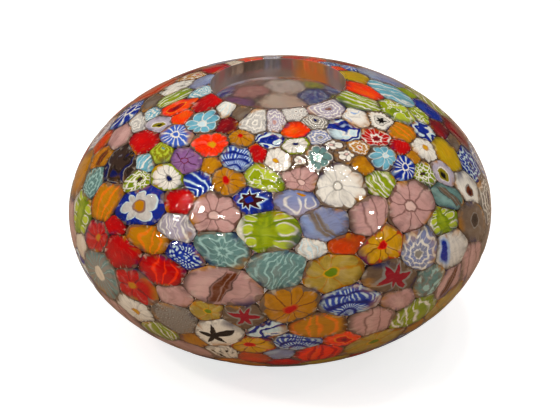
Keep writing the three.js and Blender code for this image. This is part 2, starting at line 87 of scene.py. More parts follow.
# The slices on the front, laid in the same places as in the CAD: bearing from the front in degrees,
# latitude above the widest line on the ellipse's own angle, half the slice's width in millimetres before its
# neighbours pressed on it, and the cane it was cut from, as its main colour and its pattern.
LAID_SLICES = [
    # Round the mouth.
    [-28, 67, 4.5, "smoke.plain"], [-14, 64.5, 6, "white.lace"], [-3, 65, 7, "rose.threads"],
    [8, 68, 4.5, "white.rings"], [10, 62, 6, "orange.plain"], [22, 65, 5.5, "smoke.lace"],
    [36, 67, 5, "rose.rings"], [49, 63.5, 7, "white.swirl"], [66, 64.5, 5.5, "lime.threads"],
    [82, 65, 5.5, "orange.plain"], [106, 68, 5, "amber.ball"], [122, 69, 5.5, "orange.plain"],
    [136, 68, 5, "cobalt.lace"], [151, 68, 6, "orange.barrel"], [167, 68, 6, "red.plain"],
    [-175, 68, 6, "lavender.lace"], [-161, 68, 6, "orange.flower"], [-143, 68, 6.5, "white.plain"],
    [-129, 67, 6, "red.plain"], [-116, 65, 5.5, "amber.lace"], [-100, 69, 4.5, "lavender.plain"],
    [-103, 61, 7, "white.jags"], [-78, 69, 5, "aqua.lace"], [-60, 68.5, 5.5, "red.plain"],
    [-42, 69, 5, "white.threads"],
    # The upper shoulder.
    [-84, 58.5, 6, "lime.threads"], [-93, 53, 5.5, "smoke.plain"], [-72, 60.5, 7.5, "orange.eye"],
    [-61, 59, 6, "orange.plain"], [-45, 60.5, 8, "aqua.flower"], [-30, 62, 5, "red.dark"],
    [-20, 60, 6, "amber.eye"], [-30, 54.5, 7.5, "orange.flower"], [-17, 52, 8.5, "cobalt.zigzag"],
    [-9, 54.5, 6, "red.plain"], [-4.5, 58, 5, "cobalt.swirl"], [-2, 51.5, 8, "white.daisy"],
    [7.5, 57, 6.5, "lime.daisy"], [8, 50.5, 6, "white.petals"], [15, 52, 6.5, "aqua.outlined"],
    [21, 58.5, 5, "lavender.lace"], [23, 55, 5, "white.petals"], [27.5, 51, 4.5, "white.petals"],
    [35, 58, 6, "cobalt.swirl"], [35, 52, 4, "amber.lace"], [45.5, 53, 4.5, "red.threads"],
    [57, 56.5, 7, "white.sun"], [74, 54.5, 6.5, "lime.mottle"], [93, 58, 8.5, "aqua.threads"],
    [118, 57, 7, "lavender.plain"], [126, 63, 5.5, "cobalt.daisy"], [140, 61, 6, "red.dark"],
    # The lower shoulder.
    [-97, 47, 6, "cobalt.rays"], [-79, 52, 6, "aqua.lace"], [-78, 47, 6, "white.lace"],
    [-66, 53.5, 6.5, "lavender.eye"], [-63, 47, 6.5, "red.ball"], [-52, 54, 6.5, "cobalt.daisy"],
    [-50.5, 48, 6, "lime.rings"], [-37.5, 47, 6.5, "lavender.flower"], [-26.5, 48.5, 4.5, "amber.plain"],
    [-18, 44, 8, "amber.eye"], [-27, 41, 5.5, "cobalt.arcs"], [-6, 44.5, 6.5, "lime.mottle"],
    [8.5, 43.5, 8.5, "rose.flower"], [20, 41, 9.5, "white.flower"], [31, 45.5, 5, "amber.plain"],
    [41.5, 46, 7.5, "aqua.flower"], [52.5, 47, 4.5, "red.plain"], [46, 40.5, 6, "cobalt.rays"],
    [60, 50, 6.5, "amber.barrel"], [54, 42, 5.5, "amber.plain"], [61.5, 42, 6, "white.daisy"],
    [70, 45, 5.5, "cobalt.swirl"], [82, 48, 6, "lime.mottle"], [91, 46, 5.5, "cobalt.plain"],
    [101, 51, 5, "lime.plain"], [80, 42, 5, "red.dark"],
    # The front above the widest line.
    [-78, 42, 6, "rose.plain"], [-63, 38, 7.5, "smoke.navy"], [-53.5, 40, 5, "aqua.threads"],
    [-49, 36.5, 6, "lime.lace"], [-39, 40.5, 5.5, "lime.daisy"], [-29.5, 34, 7.5, "red.ball"],
    [-20, 32, 10, "rose.flower"], [-9, 37.5, 8.5, "cobalt.star"], [7, 37, 6.5, "lavender.cup"],
    [12, 29, 8.5, "lavender.stripe"], [-4, 28, 9, "lime.loops"], [27, 28.5, 8, "rose.barrel"],
    [34, 38, 5.5, "lime.threads"], [39.5, 28.5, 9.5, "rose.flower"], [51.5, 36, 5.5, "lime.lace"],
    [58, 32, 7, "lavender.eye"], [68.5, 36, 6.5, "amber.ball"], [79, 34, 6, "smoke.plain"],
    [56, 24.5, 6.5, "teal.stripe"], [76, 26, 6, "cobalt.lace"], [66, 20, 6.5, "white.eye"],
    [-74, 33, 6.5, "amber.stripe"], [-46, 28, 9, "cobalt.flower"], [-57, 22.5, 6.5, "amber.barrel"],
    [-71, 24, 6.5, "teal.lace"], [-30, 25.5, 6.5, "lavender.threads"], [-15, 20.5, 9, "teal.loops"],
    [8, 21.5, 4.5, "white.threads"], [18.5, 20.5, 6.5, "orange.deep"], [26.5, 18.5, 9, "amber.flower"],
    [-36, 19, 7, "amber.barrel"], [-52, 18, 4.5, "red.plain"], [-25, 17, 8.5, "cobalt.dots"],
    [-56, 11, 7.5, "red.flower"], [-45, 11.5, 7.5, "red.plain"], [-68, 13, 6.5, "lime.loops"],
    [-31, 9.5, 9, "red.barrel"], [-14, 8, 10, "rose.stripe"], [0, 14.5, 9, "teal.zigzag"],
    [11.5, 13.5, 9, "amber.glassy"], [37.5, 13.5, 9, "lavender.lace"], [48.5, 20, 8, "lime.loops"],
    [48.5, 8.5, 8.5, "white.core"], [63, 11, 7.5, "smoke.eye"], [29, 6, 9.5, "smoke.star"],
    # The front below it.
    [-40, 0, 9.5, "red.flower"], [-29, 1, 7, "rose.plain"], [-17.5, -2.5, 6.5, "amber.glassy"],
    [-9, -2.5, 9, "smoke.star"], [2.5, 0.5, 8, "amber.eye"], [16, 1.5, 9.5, "cobalt.zigzag"],
    [31, -3, 7, "rose.plain"], [41, -2.5, 7, "teal.mottle"], [49.5, -3.5, 6.5, "rose.stripe"],
    [60, -3, 6.5, "rose.barrel"], [-55, -4, 8.5, "teal.daisy"], [-41, -12.5, 8, "white.daisy"],
    [-27, -8.5, 8, "smoke.dots"], [-18, -14, 9, "white.star"], [-4, -10, 5.5, "cobalt.swirl"],
    [8.5, -8, 8.5, "amber.barrel"], [4, -15.5, 6.5, "cobalt.zigzag"], [24.5, -10, 8.5, "rose.barrel"],
    [35, -15, 7, "lime.threads"], [16.5, -18.5, 5.5, "orange.eye"], [-8.5, -17.5, 8, "amber.flower"],
    [-34, -20, 5.5, "lime.threads"], [-24, -21, 4.5, "amber.plain"], [-16, -26, 5, "white.jags"],
    [-9.5, -28, 6.5, "orange.deep"], [-1, -24, 5, "lavender.plain"], [10, -26, 7, "orange.barrel"],
    [26, -25, 7, "amber.glassy"], [-30, -28, 6.5, "rose.plain"],
]

# The rest of the slices, dropped at random by the CAD's steps. The CAD's box, from which the radius here
# comes, is a little small for its flat facets, so the last slices fall a little differently.
SCATTER_RADII = [7.4, 6.4, 5.5, 4.7, 4.0]
TRIES_PER_SIZE = [40, 160, 600, 2500, 12000]
SCATTER_SEED = 20
EDGE_CLEARANCE = 0.72
MOUTH_GUARDS = 11
MOUTH_GUARD_RADIUS = 15 * MM
COMMONER = {"white.star": "white.plain"}  # a cane that shows only once, and what the scatter has for it

# Slices of the scatter whose cane is chosen, by number: first those that show along the bowl's outline from
# the front, then those that show round the mouth and through it.
CHOSEN_CANES = {
    154: "smoke.lace", 155: "orange.deep", 175: "amber.plain", 186: "rose.plain", 197: "lime.threads",
    207: "rose.stripe", 210: "lavender.lace", 211: "rose.rings", 222: "teal.lace", 254: "red.dark",
    261: "lavender.plain", 262: "red.dark", 355: "smoke.navy", 364: "orange.deep", 277: "amber.glassy",
    163: "white.lace", 195: "rose.rings", 201: "rose.flower", 218: "amber.stripe", 220: "smoke.lace",
    228: "cobalt.arcs", 238: "cobalt.dots", 243: "lime.rings", 256: "smoke.dots", 266: "orange.flower",
    298: "lime.rings", 299: "amber.flower", 303: "lavender.flower", 308: "lime.threads", 345: "smoke.eye",
    353: "cobalt.arcs", 363: "orange.barrel",
}


def radius_at(depth):
    return OUTER_RADIUS - depth


def half_height_at(depth):
    return OUTER_HALF_HEIGHT - depth


def angle_at_radius(depth, radius):
    """The ellipse's own angle, above the widest line, at which it has this radius."""
    return math.acos(radius / radius_at(depth))


def angle_at_height(depth, z):
    return math.asin((z - CENTRE.z) / half_height_at(depth))


def reach_of(direction, depth):
    """How far a direction from the ellipsoid's centre runs to the whole ellipsoid at a depth."""
    x, y, z = direction
    across, up = radius_at(depth), half_height_at(depth)
    return 1 / math.sqrt((x / across) ** 2 + (y / across) ** 2 + (z / up) ** 2)


def on_surface(direction, depth, floor):
    """Where a direction from the centre meets the surface at a depth, or the floor under it."""
    reach = reach_of(direction, depth)
    if direction.z < 0:
        reach = min(reach, (floor - CENTRE.z) / direction.z)
    return CENTRE + direction * reach


def in_layer(direction, depth):
    """The same for the slices' layer, whose floor rises with its depth."""
    return on_surface(direction, depth, BASE_COVER + max(depth - SLICE_TOP, 0))


def direction_of(azimuth, polar):
    across = math.sin(polar)
    return Vector((across * math.cos(azimuth), across * math.sin(azimuth), math.cos(polar)))


def polar_of(direction):
    return math.acos(direction.z / direction.length)


def layer_limits():
    """The polar angles of the layer's edge at the mouth and of its corner at the base."""
    rim = MOUTH_RADIUS + RIM_SETBACK
    rim_height = half_height_at(SLICE_BACK) * math.sin(angle_at_radius(SLICE_BACK, rim))
    corner = radius_at(SLICE_TOP) * math.cos(angle_at_height(SLICE_TOP, 0))
    return math.atan2(rim, rim_height), math.atan2(corner, -CENTRE.z)


RIM_POLAR, CORNER_POLAR = layer_limits()


# ---- The scatter of slices ----

def random_numbers(seed):
    """A linear congruential generator of numbers from 0 to 1."""
    factor, step, span = 1664525, 1013904223, 2**32
    state = seed
    while True:
        state = (state * factor + step) % span
        yield state / span


def ellipsoid_direction(azimuth, sine):
    across = OUTER_RADIUS * math.sqrt(1 - sine * sine)
    spot = (across * math.cos(azimuth), across * math.sin(azimuth), OUTER_HALF_HEIGHT * sine)
    return Vector(spot).normalized()


def slice_at(direction, radius, cane):
    return {"direction": direction, "at": on_surface(direction, SLICE_TOP, 0), "radius": radius, "cane": cane}


def lay_all_slices():
    """The slices laid one by one, then others dropped at random, largest first, clear of those already down.
    """
    numbers = random_numbers(SCATTER_SEED)
    rim = on_surface(direction_of(0, RIM_POLAR), SLICE_TOP, 0)
    corner = on_surface(direction_of(0, CORNER_POLAR), SLICE_TOP, 0)
    slices = []
    for bearing, latitude, radius, cane in LAID_SLICES:
        sine = math.sin(math.radians(latitude))
        direction = ellipsoid_direction(math.radians(bearing - 90), sine)
        slices.append(slice_at(direction, radius * MM, cane))
    for size, tries in zip(SCATTER_RADII, TRIES_PER_SIZE):
        radius = size * MM
        for _ in range(tries):
            sine = 2 * next(numbers) - 1
            direction = ellipsoid_direction(2 * math.pi * next(numbers), sine)
            if polar_of(direction) < RIM_POLAR:
                continue
            at = on_surface(direction, SLICE_TOP, 0)
            out = math.hypot(at.x, at.y)
            margin = EDGE_CLEARANCE * radius
            if any(math.hypot(out - edge.x, at.z - edge.z) < margin for edge in (rim, corner)):
                continue
            if all((at - other["at"]).length >= radius + other["radius"] for other in slices):
                model = LAID_SLICES[math.floor(next(numbers) * len(LAID_SLICES))]
                cane = CHOSEN_CANES.get(len(slices) + 1, COMMONER.get(model[3], model[3]))
                slices.append(slice_at(direction, radius, cane))
    return slices


def mouth_guards():
    """Points across the mouth, neighbours to the slices around it that carry no slice themselves."""
    polar = math.atan2(MOUTH_GUARD_RADIUS, OUTER_HALF_HEIGHT)
    spots = [Vector((0, 0, 1))]
    spots += [direction_of(2 * math.pi * i / MOUTH_GUARDS, polar) for i in range(MOUTH_GUARDS)]
    return [{"direction": spot, "radius": MOUTH_GUARD_RADIUS / 2, "guard": True} for spot in spots]


def neighbour_triangles(points):
    """The net of neighbours: the convex hull of the points on the whole ellipsoid."""
    net = bmesh.new()
    for point in points:
        net.verts.new(point["direction"] * reach_of(point["direction"], 0))
    net.verts.index_update()
    bmesh.ops.convex_hull(net, input=net.verts[:])
    bmesh.ops.recalc_face_normals(net, faces=net.faces[:])
    triangles = [[vert.index for vert in face.verts] for face in net.faces]
    net.free()
    return triangles


def meeting_direction(corners, points):
    """Where three neighbours meet: nearer the smaller ones, and on the layer's edge or corner at its ends."""
    middle = Vector()
    for i in corners:
        direction = points[i]["direction"]
        middle += direction * (reach_of(direction, 0) / points[i]["radius"])
    middle.normalize()
    azimuth = math.atan2(middle.y, middle.x)
    underneath = sum(polar_of(points[i]["direction"]) > CORNER_POLAR for i in corners)
    if any("guard" in points[i] for i in corners):
        return direction_of(azimuth, RIM_POLAR)
    if underneath in (1, 2):
        return direction_of(azimuth, CORNER_POLAR)
    return middle


def slice_outlines(slices, triangles, meetings):
    """Each slice's outline as directions from the centre, anticlockwise seen from outside."""
    around = [{} for _ in slices]
    for number, corners in enumerate(triangles):
        for k, member in enumerate(corners):
            if member < len(slices):
                around[member][corners[(k + 1) % 3]] = (number, corners[(k + 2) % 3])
    outlines = []
    for links in around:
        ring = []
        first = neighbour = next(iter(links))
        while True:
            number, neighbour = links[neighbour]
            ring.append(meetings[number])
            if neighbour == first:
                break
        outlines.append(ring)
    return outlines


# ---- The slices' meshes ----

OUTLINE_POINTS = 44
OUTLINE_SOFTENING = 0.9  # outline points, the spread that rounds a slice's corners
TOP_RINGS = [0.22, 0.42, 0.6, 0.76, 0.88, 0.95, 0.985, 1.0]
EDGE_FROM = 0.88  # the share of the way out at which a slice's top starts to turn down
BACK_RINGS = [(0.96, 0.97), (0.45, 0.45)]  # shares of the way out, on the slice and on its pattern
OFF_CENTRE = 0.24  # how far a slice's pattern may sit from its middle
SERIAL_STEP = 1.7  # from slice to slice, along the noise that their patterns are drawn with
SERIAL_DEPTH = 0.3  # and from a slice's face to its back
LEAST_CROSS = 0.1  # the cross product with up below which a direction counts as upright itself
NEARLY_NOUGHT, NEARLY_LEVEL = 1e-12, 1e-9


def tangent_frame(slice_):
    """The slice's middle, and its own right, up and outward directions."""
    across, up = radius_at(SLICE_TOP), half_height_at(SLICE_TOP)
    middle = in_layer(slice_["direction"], SLICE_TOP)
    arm = middle - CENTRE
    outward = Vector((arm.x / across**2, arm.y / across**2, arm.z / up**2)).normalized()
    if polar_of(slice_["direction"]) > CORNER_POLAR:
        outward = Vector((0, 0, -1))
    right = Vector((0, 0, 1)).cross(outward)
    if right.length < LEAST_CROSS:
        right = Vector((1, 0, 0))
    right.normalize()
    return middle, right, outward.cross(right), outward


def flat_outline(ring, middle, right, up, outward):
    """The outline's corners, thrown from the ellipsoid's centre on to the slice's tangent plane."""
    corners = []
    height = (middle - CENTRE).dot(outward)
    for direction in ring:
        spot = direction * (height / direction.dot(outward)) - (middle - CENTRE)
        corners.append((spot.dot(right), spot.dot(up)))
    return corners


def outline_reaches(corners):
    """How far the outline is from the middle at even angles, its corners rounded and a seam left round it."""
    angles = np.arange(OUTLINE_POINTS) * (2 * math.pi / OUTLINE_POINTS)
    reaches = np.full(OUTLINE_POINTS, np.inf)
    for (x0, y0), (x1, y1) in zip(corners, corners[1:] + corners[:1]):
        across = np.cos(angles) * (y1 - y0) - np.sin(angles) * (x1 - x0)
        along = x0 * (y1 - y0) - y0 * (x1 - x0)
        side0 = np.cos(angles) * y0 - np.sin(angles) * x0
        side1 = np.cos(angles) * y1 - np.sin(angles) * x1
        met = (side0 <= NEARLY_NOUGHT) & (side1 >= -NEARLY_NOUGHT) & (across > NEARLY_LEVEL)
        reaches[met] = np.minimum(reaches[met], along / across[met])
    steps = np.arange(OUTLINE_POINTS)
    apart = np.minimum(steps, OUTLINE_POINTS - steps)
    weights = np.exp(-0.5 * (apart / OUTLINE_SOFTENING) ** 2)
    smooth = np.array([np.sum(np.roll(weights, k) * reaches) for k in steps]) / weights.sum()
    return np.minimum(smooth, reaches) - SEAM


def slice_depth(share):
    """How deep a slice's top lies, domed and rounded at its edge."""
    turned = max(0.0, (share - EDGE_FROM) / (1 - EDGE_FROM))
    return SLICE_TOP + SLICE_DOME * share**3 + SLICE_ROUNDING * (1 - math.sqrt(1 - turned**2))


def wandered(direction, deep):
    """A direction moved by a slow random field, the same for neighbours, so that their seams wander together,
    and drawn back from the mouth as the slice goes deeper."""
    room = min(polar_of(direction) - RIM_POLAR, CORNER_POLAR - polar_of(direction))
    shift = noise.noise_vector(direction / WANDER_SIZE) * WANDER
    moved = (direction + shift * min(max(room / WANDER_FADE, 0), 1)).normalized()
    polar = polar_of(moved)
    bevel = (RIM_BEVEL * deep - RIM_REACH) / OUTER_HALF_HEIGHT
    near_rim = nearness(polar, RIM_BAND)
    return direction_of(math.atan2(moved.y, moved.x), polar + bevel * near_rim**2)


def nearness(polar, band):
    """1 at the mouth's edge of the layer, down to 0 a band away from it."""
    return min(max(1 - (polar - RIM_POLAR) / band, 0), 1)


def slice_mesh(name, slice_, ring, turn, serial):
    """A slice as a closed mesh. Its attribute "cane" keeps each point's place on the cane's cut face."""
    middle, right, up, outward = tangent_frame(slice_)
    reaches = outline_reaches(flat_outline(ring, middle, right, up, outward))
    rings = [(share, slice_depth(share), share) for share in TOP_RINGS]
    rings += [(1.0, (slice_depth(1.0) + SLICE_BACK) / 2, 1.0), (1.0, SLICE_BACK - SLICE_ROUNDING / 2, 1.0)]
    rings += [(share, SLICE_BACK, place) for share, place in BACK_RINGS]
    points, cane = [], []
    off = [OFF_CENTRE * noise.noise(Vector((serial, k, 0.5))) for k in (2, 7)]

    def add(share, angle, reach, depth, place):
        arm = (right * math.cos(angle) + up * math.sin(angle)) * (reach * share)
        deep = (depth - SLICE_TOP) / (SLICE_BACK - SLICE_TOP)
        direction = (middle + arm - CENTRE).normalized()
        lift = RIM_LIFT * (1 - deep) * nearness(polar_of(direction), RIM_LIFT_BAND)
        points.append(in_layer(wandered(direction, deep), depth - lift))
        turned = angle + turn
        pull = 1 - place * place
        cane.append((place * math.cos(turned) + off[0] * pull, place * math.sin(turned) + off[1] * pull,
                     serial + SERIAL_DEPTH * deep))

    add(0, 0, 0, SLICE_TOP, 0)
    for share, depth, place in rings:
        for k in range(OUTLINE_POINTS):
            add(share, 2 * math.pi * k / OUTLINE_POINTS, reaches[k], depth, place)
    add(0, 0, 0, SLICE_BACK, 0)

    last = len(points) - 1
    faces = []
    for k in range(OUTLINE_POINTS):
        after = (k + 1) % OUTLINE_POINTS
        faces.append((0, 1 + k, 1 + after))
        for step in range(len(rings) - 1):
            inner, outer = 1 + step * OUTLINE_POINTS, 1 + (step + 1) * OUTLINE_POINTS
            faces.append((inner + k, outer + k, outer + after, inner + after))
        back = 1 + (len(rings) - 1) * OUTLINE_POINTS
        faces.append((back + k, last, back + after))
    return build_mesh(name, points, faces, cane)


def add_object(name, data):
    added = bpy.data.objects.new(name, data)
    bpy.context.scene.collection.objects.link(added)
    return added


def build_mesh(name, points, faces, cane=None):
    mesh = bpy.data.meshes.new(name)
    mesh.from_pydata([tuple(point) for point in points], [], faces)
    if cane:
        places = mesh.attributes.new("cane", "FLOAT_VECTOR", "POINT")
        places.data.foreach_set("vector", [value for place in cane for value in place])
    mesh.shade_smooth()
    mesh.update()
    return add_object(name, mesh)


# ---- The clear glass body ----

BODY_SEGMENTS = 400
OUTER_STEPS = 150
INNER_STEPS = 60
BASE_SHARES = [0.25, 0.5, 0.75, 0.9]
LIP_ROOM = 0.6 * MM
INNER_LIP_ROOM = 2.6 * MM
SEAM_RELIEF = 0.17 * MM  # how far the skin dips over the seams between slices
SEAM_SPREAD = 0.9 * MM
SKIN_WAVE = 0.24 * MM
SKIN_WAVE_SIZE = 11 * MM
BORE_WAVE = 0.22 * MM
RELIEF_FADE = 5 * MM
LEAST_RELIEF = 0.35  # the share of the relief that is left where the skin turns over into the mouth
RELIEF_NEIGHBOURS = 5
BORE_SWELLS = 1.6
FLOOR_CORNER = 3 * MM
CORNER_STEPS, LIP_STEPS, BORE_STEPS, BORE_CORNER_STEPS = 5, 14, 6, 8
FLOOR_SHARES = [1.0, 0.75, 0.5, 0.25]


def ellipse_point(depth, angle):
    return radius_at(depth) * math.cos(angle), CENTRE.z + half_height_at(depth) * math.sin(angle)


def rounded_corner(start, corner, end, steps):
    """Points between start and end on a curve that turns round the corner."""
    points = []
    for i in range(1, steps):
        t = i / steps
        s = 1 - t
        pull = 3 * s * t
        weights = (s**3 + pull * s * 0.4, pull * 0.6, t**3 + pull * t * 0.4)
        points.append(tuple(sum(w * p[k] for w, p in zip(weights, (start, corner, end))) for k in (0, 1)))
    return points


def body_profile():
    """The body's half section as (radius, height, part), from the base round the lip to the inner floor."""
    base_corner = (BASE_RADIUS, 0.0)
    base_start = (BASE_RADIUS - BASE_ROUNDING, 0.0)
    low = angle_at_height(0, BASE_ROUNDING * 0.6)
    high = angle_at_radius(0, MOUTH_RADIUS + LIP_ROOM)
    lip_corner = ellipse_point(0, angle_at_radius(0, MOUTH_RADIUS))
    lip_end = (MOUTH_RADIUS, lip_corner[1] - LIP_ROOM)
    inner_high = angle_at_radius(WALL_THICKNESS, MOUTH_RADIUS + INNER_LIP_ROOM)
    bore_corner = ellipse_point(WALL_THICKNESS, angle_at_radius(WALL_THICKNESS, MOUTH_RADIUS))
    bore_end = (MOUTH_RADIUS, bore_corner[1] + INNER_LIP_ROOM * 0.7)
    inner_low = angle_at_height(WALL_THICKNESS, FLOOR_THICKNESS + BASE_ROUNDING)
    floor_corner = ellipse_point(WALL_THICKNESS, angle_at_height(WALL_THICKNESS, FLOOR_THICKNESS))
    floor_start = (floor_corner[0] - FLOOR_CORNER, FLOOR_THICKNESS)

    rows = [(BASE_RADIUS * share, 0.0, "base") for share in BASE_SHARES] + [(*base_start, "base")]
    outer = [ellipse_point(0, low + (high - low) * i / OUTER_STEPS) for i in range(OUTER_STEPS + 1)]
    rows += [(*point, "base") for point in rounded_corner(base_start, base_corner, outer[0], CORNER_STEPS)]
    rows += [(*point, "outer") for point in outer]
    rows += [(*point, "lip") for point in rounded_corner(outer[-1], lip_corner, lip_end, LIP_STEPS)]
    rows += [(MOUTH_RADIUS, lip_end[1] + (bore_end[1] - lip_end[1]) * i / BORE_STEPS, "lip")
             for i in range(BORE_STEPS + 1)]
    inner = [ellipse_point(WALL_THICKNESS, inner_high + (inner_low - inner_high) * i / INNER_STEPS)
             for i in range(INNER_STEPS + 1)]
    rows += [(*point, "lip") for point in rounded_corner(bore_end, bore_corner, inner[0], BORE_CORNER_STEPS)]
    rows += [(*point, "inner") for point in inner]
    rows += [(*point, "inner")
             for point in rounded_corner(inner[-1], floor_corner, floor_start, CORNER_STEPS)]
    rows += [(floor_start[0] * share, FLOOR_THICKNESS, "inner") for share in FLOOR_SHARES]
    return rows


def skin_relief(slices):
    """How far the skin lies under the true ellipsoid at a place: dips along the seams and a slow wave."""
    tree = KDTree(len(slices))
    for number, slice_ in enumerate(slices):
        tree.insert(slice_["at"], number)
    tree.balance()

    def relief(place):
        near = [(distance / slices[number]["radius"], slices[number]["radius"])
                for _, number, distance in tree.find_n(place, RELIEF_NEIGHBOURS)]
        near.sort()
        (first, size), (second, other) = near[:2]
        apart = (second - first) * (size + other) / 4
        wave = noise.noise(place / SKIN_WAVE_SIZE)
        return SEAM_RELIEF * math.exp(-((apart / SEAM_SPREAD) ** 2)) + SKIN_WAVE * (0.5 + 0.5 * wave)

    return relief


def build_body(slices):
    """The casing and the gather as one closed body of glass, because they are fused round the slices."""
    relief = skin_relief(slices)
    rows = body_profile()
    top = max(z for _, z, part in rows if part == "outer")
    upright = (OUTER_RADIUS / OUTER_HALF_HEIGHT) ** 2
    points = [Vector((0, 0, 0))]
    for radius, z, part in rows:
        for k in range(BODY_SEGMENTS):
            turn = 2 * math.pi * k / BODY_SEGMENTS
            point = Vector((radius * math.cos(turn), radius * math.sin(turn), z))
            out = Vector((point.x, point.y, (z - CENTRE.z) * upright)).normalized()
            if part == "outer":
                fade = min(1.0, z / RELIEF_FADE, LEAST_RELIEF + (top - z) / RELIEF_FADE)
                point -= out * relief(point) * fade
            elif part == "inner" and z > FLOOR_THICKNESS + MM:
                point += out * BORE_WAVE * noise.noise(point / SKIN_WAVE_SIZE)
            elif part == "lip":
                across = Vector((math.cos(turn), math.sin(turn), 0))
                swell = noise.noise((across + Vector((0, 0, 4.0))) * BORE_SWELLS)
                point -= across * BORE_WAVE * 0.5 * swell
            points.append(point)
    points.append(Vector((0, 0, FLOOR_THICKNESS)))

    faces = []
    last_ring = 1 + (len(rows) - 1) * BODY_SEGMENTS
    for k in range(BODY_SEGMENTS):
        after = (k + 1) % BODY_SEGMENTS
        faces.append((0, 1 + after, 1 + k))
        for step in range(len(rows) - 1):
            here, there = 1 + step * BODY_SEGMENTS, 1 + (step + 1) * BODY_SEGMENTS
            faces.append((here + k, here + after, there + after, there + k))
        faces.append((last_ring + k, last_ring + after, len(points) - 1))
    return build_mesh("glass_body", points, faces)


# ---- Glass colours and node sums ----

COLOURS = {
    "black": "120d0c", "maroon": "3d0f16", "garnet": "74101a", "red": "c20408", "scarlet": "ec0f02",
    "orange": "fd3300", "rust": "c8480c", "tangerine": "ef7d0e", "amber": "bf7d08", "yellow": "d89e0c",
    "olive": "8e8112", "lime": "93a30d", "leaf": "6a850f", "spring": "b9c834", "teal": "678d8a",
    "sea": "a4c8c2", "aqua": "6db4cc", "ice": "cfe5ec", "sky": "93b4e6", "blue": "3c60c4",
    "cobalt": "0f2a96", "navy": "0a1454", "lavender": "858fbb", "lilac": "b3a8bd", "mauve": "8e5e98",
    "rose": "c99a95", "blush": "e2bdb4", "dusk": "7e5650", "white": "f2ece2", "cream": "e2d3bd",
    "pearl": "cdc8c4", "grey": "8f8982", "smoke": "75604f", "umber": "3c2b23", "brown": "6a3214",
    "tan": "715a47", "gold": "b89a3c", "crimson": "9a0f26", "brass": "c2a00c",
}


def linear(name):
    """A colour of the list as the linear values that a shader takes."""
    parts = [int(COLOURS[name][k:k + 2], 16) / 255 for k in (0, 2, 4)]
    return tuple(p / 12.92 if p <= 0.04045 else ((p + 0.055) / 1.055) ** 2.4 for p in parts) + (1.0,)


def plug(tree, socket, term):
    """Link a Sum or another node's output to an input, or set the input to a plain value."""
    if isinstance(term, Sum):
        term = term.socket
    if isinstance(term, bpy.types.NodeSocket):
        tree.links.new(term, socket)
    else:
        socket.default_value = term


def add_node(tree, kind, terms=(), **inputs):
    """A shader node, its inputs filled in order or by name, with underscores for the spaces of a name."""
    node = tree.nodes.new("ShaderNode" + kind)
    for socket, term in zip(node.inputs, terms):
        plug(tree, socket, term)
    for name, term in inputs.items():
        plug(tree, node.inputs[name.replace("_", " ")], term)
    return node


def mixed(tree, share, under, over):
    """One colour laid over another, as far as a share says."""
    node = add_node(tree, "Mix", Factor=share)
    node.data_type = "RGBA"
    for socket, colour in zip([socket for socket in node.inputs if socket.type == "RGBA"], (under, over)):
        plug(tree, socket, colour)
    return next(socket for socket in node.outputs if socket.type == "RGBA")


def by_ray(tree, shown, others):
    """A shader with others in its place for the rays named."""
    path = add_node(tree, "LightPath")
    for ray, other in others:
        shown = add_node(tree, "MixShader", (path.outputs[ray], shown, other.outputs[0])).outputs[0]
    return shown


def empty_material(name):
    material = bpy.data.materials.new(name)
    material.use_nodes = True
    material.node_tree.nodes.clear()
    return material


def step(operation):
    """A method that takes a Sum, and any further terms, through one Math node."""
    return lambda self, *terms: self.math(operation, self, *terms)


class Sum:
    """A number that varies over a surface. Sums with it add Math nodes to its material."""

    def __init__(self, tree, socket):
        self.tree, self.socket = tree, socket

    def math(self, operation, *terms):
        node = add_node(self.tree, "Math", terms)
        node.operation = operation
        return Sum(self.tree, node.outputs[0])

    __add__, __sub__, __mul__, __truediv__ = map(step, ("ADD", "SUBTRACT", "MULTIPLY", "DIVIDE"))
    size, part, floor, sine, cosine = map(step, ("ABSOLUTE", "FRACT", "FLOOR", "SINE", "COSINE"))
    root, power, most, times_plus = map(step, ("SQRT", "POWER", "MAXIMUM", "MULTIPLY_ADD"))

    def __rsub__(self, other):
        return self.math("SUBTRACT", other, self)

    def apart(self):
        """How far a repeating number is from the middle of its repeat: 0 there, half at its ends."""
        return (self.part() - 0.5).size()

    def ramp(self, start, end, first, last):
        node = add_node(self.tree, "MapRange", (self, start, end, first, last))
        node.interpolation_type = "SMOOTHSTEP"
        return Sum(self.tree, node.outputs["Result"])

    def below(self, limit, soft=0.04):
        return self.ramp(limit - soft, limit + soft, 1.0, 0.0)

    def above(self, limit, soft=0.04):
        return self.ramp(limit - soft, limit + soft, 0.0, 1.0)

    def line(self, width, soft=0.03):
        """1 where the number is near nought."""
        return self.size().below(width, soft)


def hypot(a, b):
    return (a * a + b * b).root()


def coordinates(tree, vector):
    parts = add_node(tree, "SeparateXYZ", (vector,))
    return [Sum(tree, socket) for socket in parts.outputs]


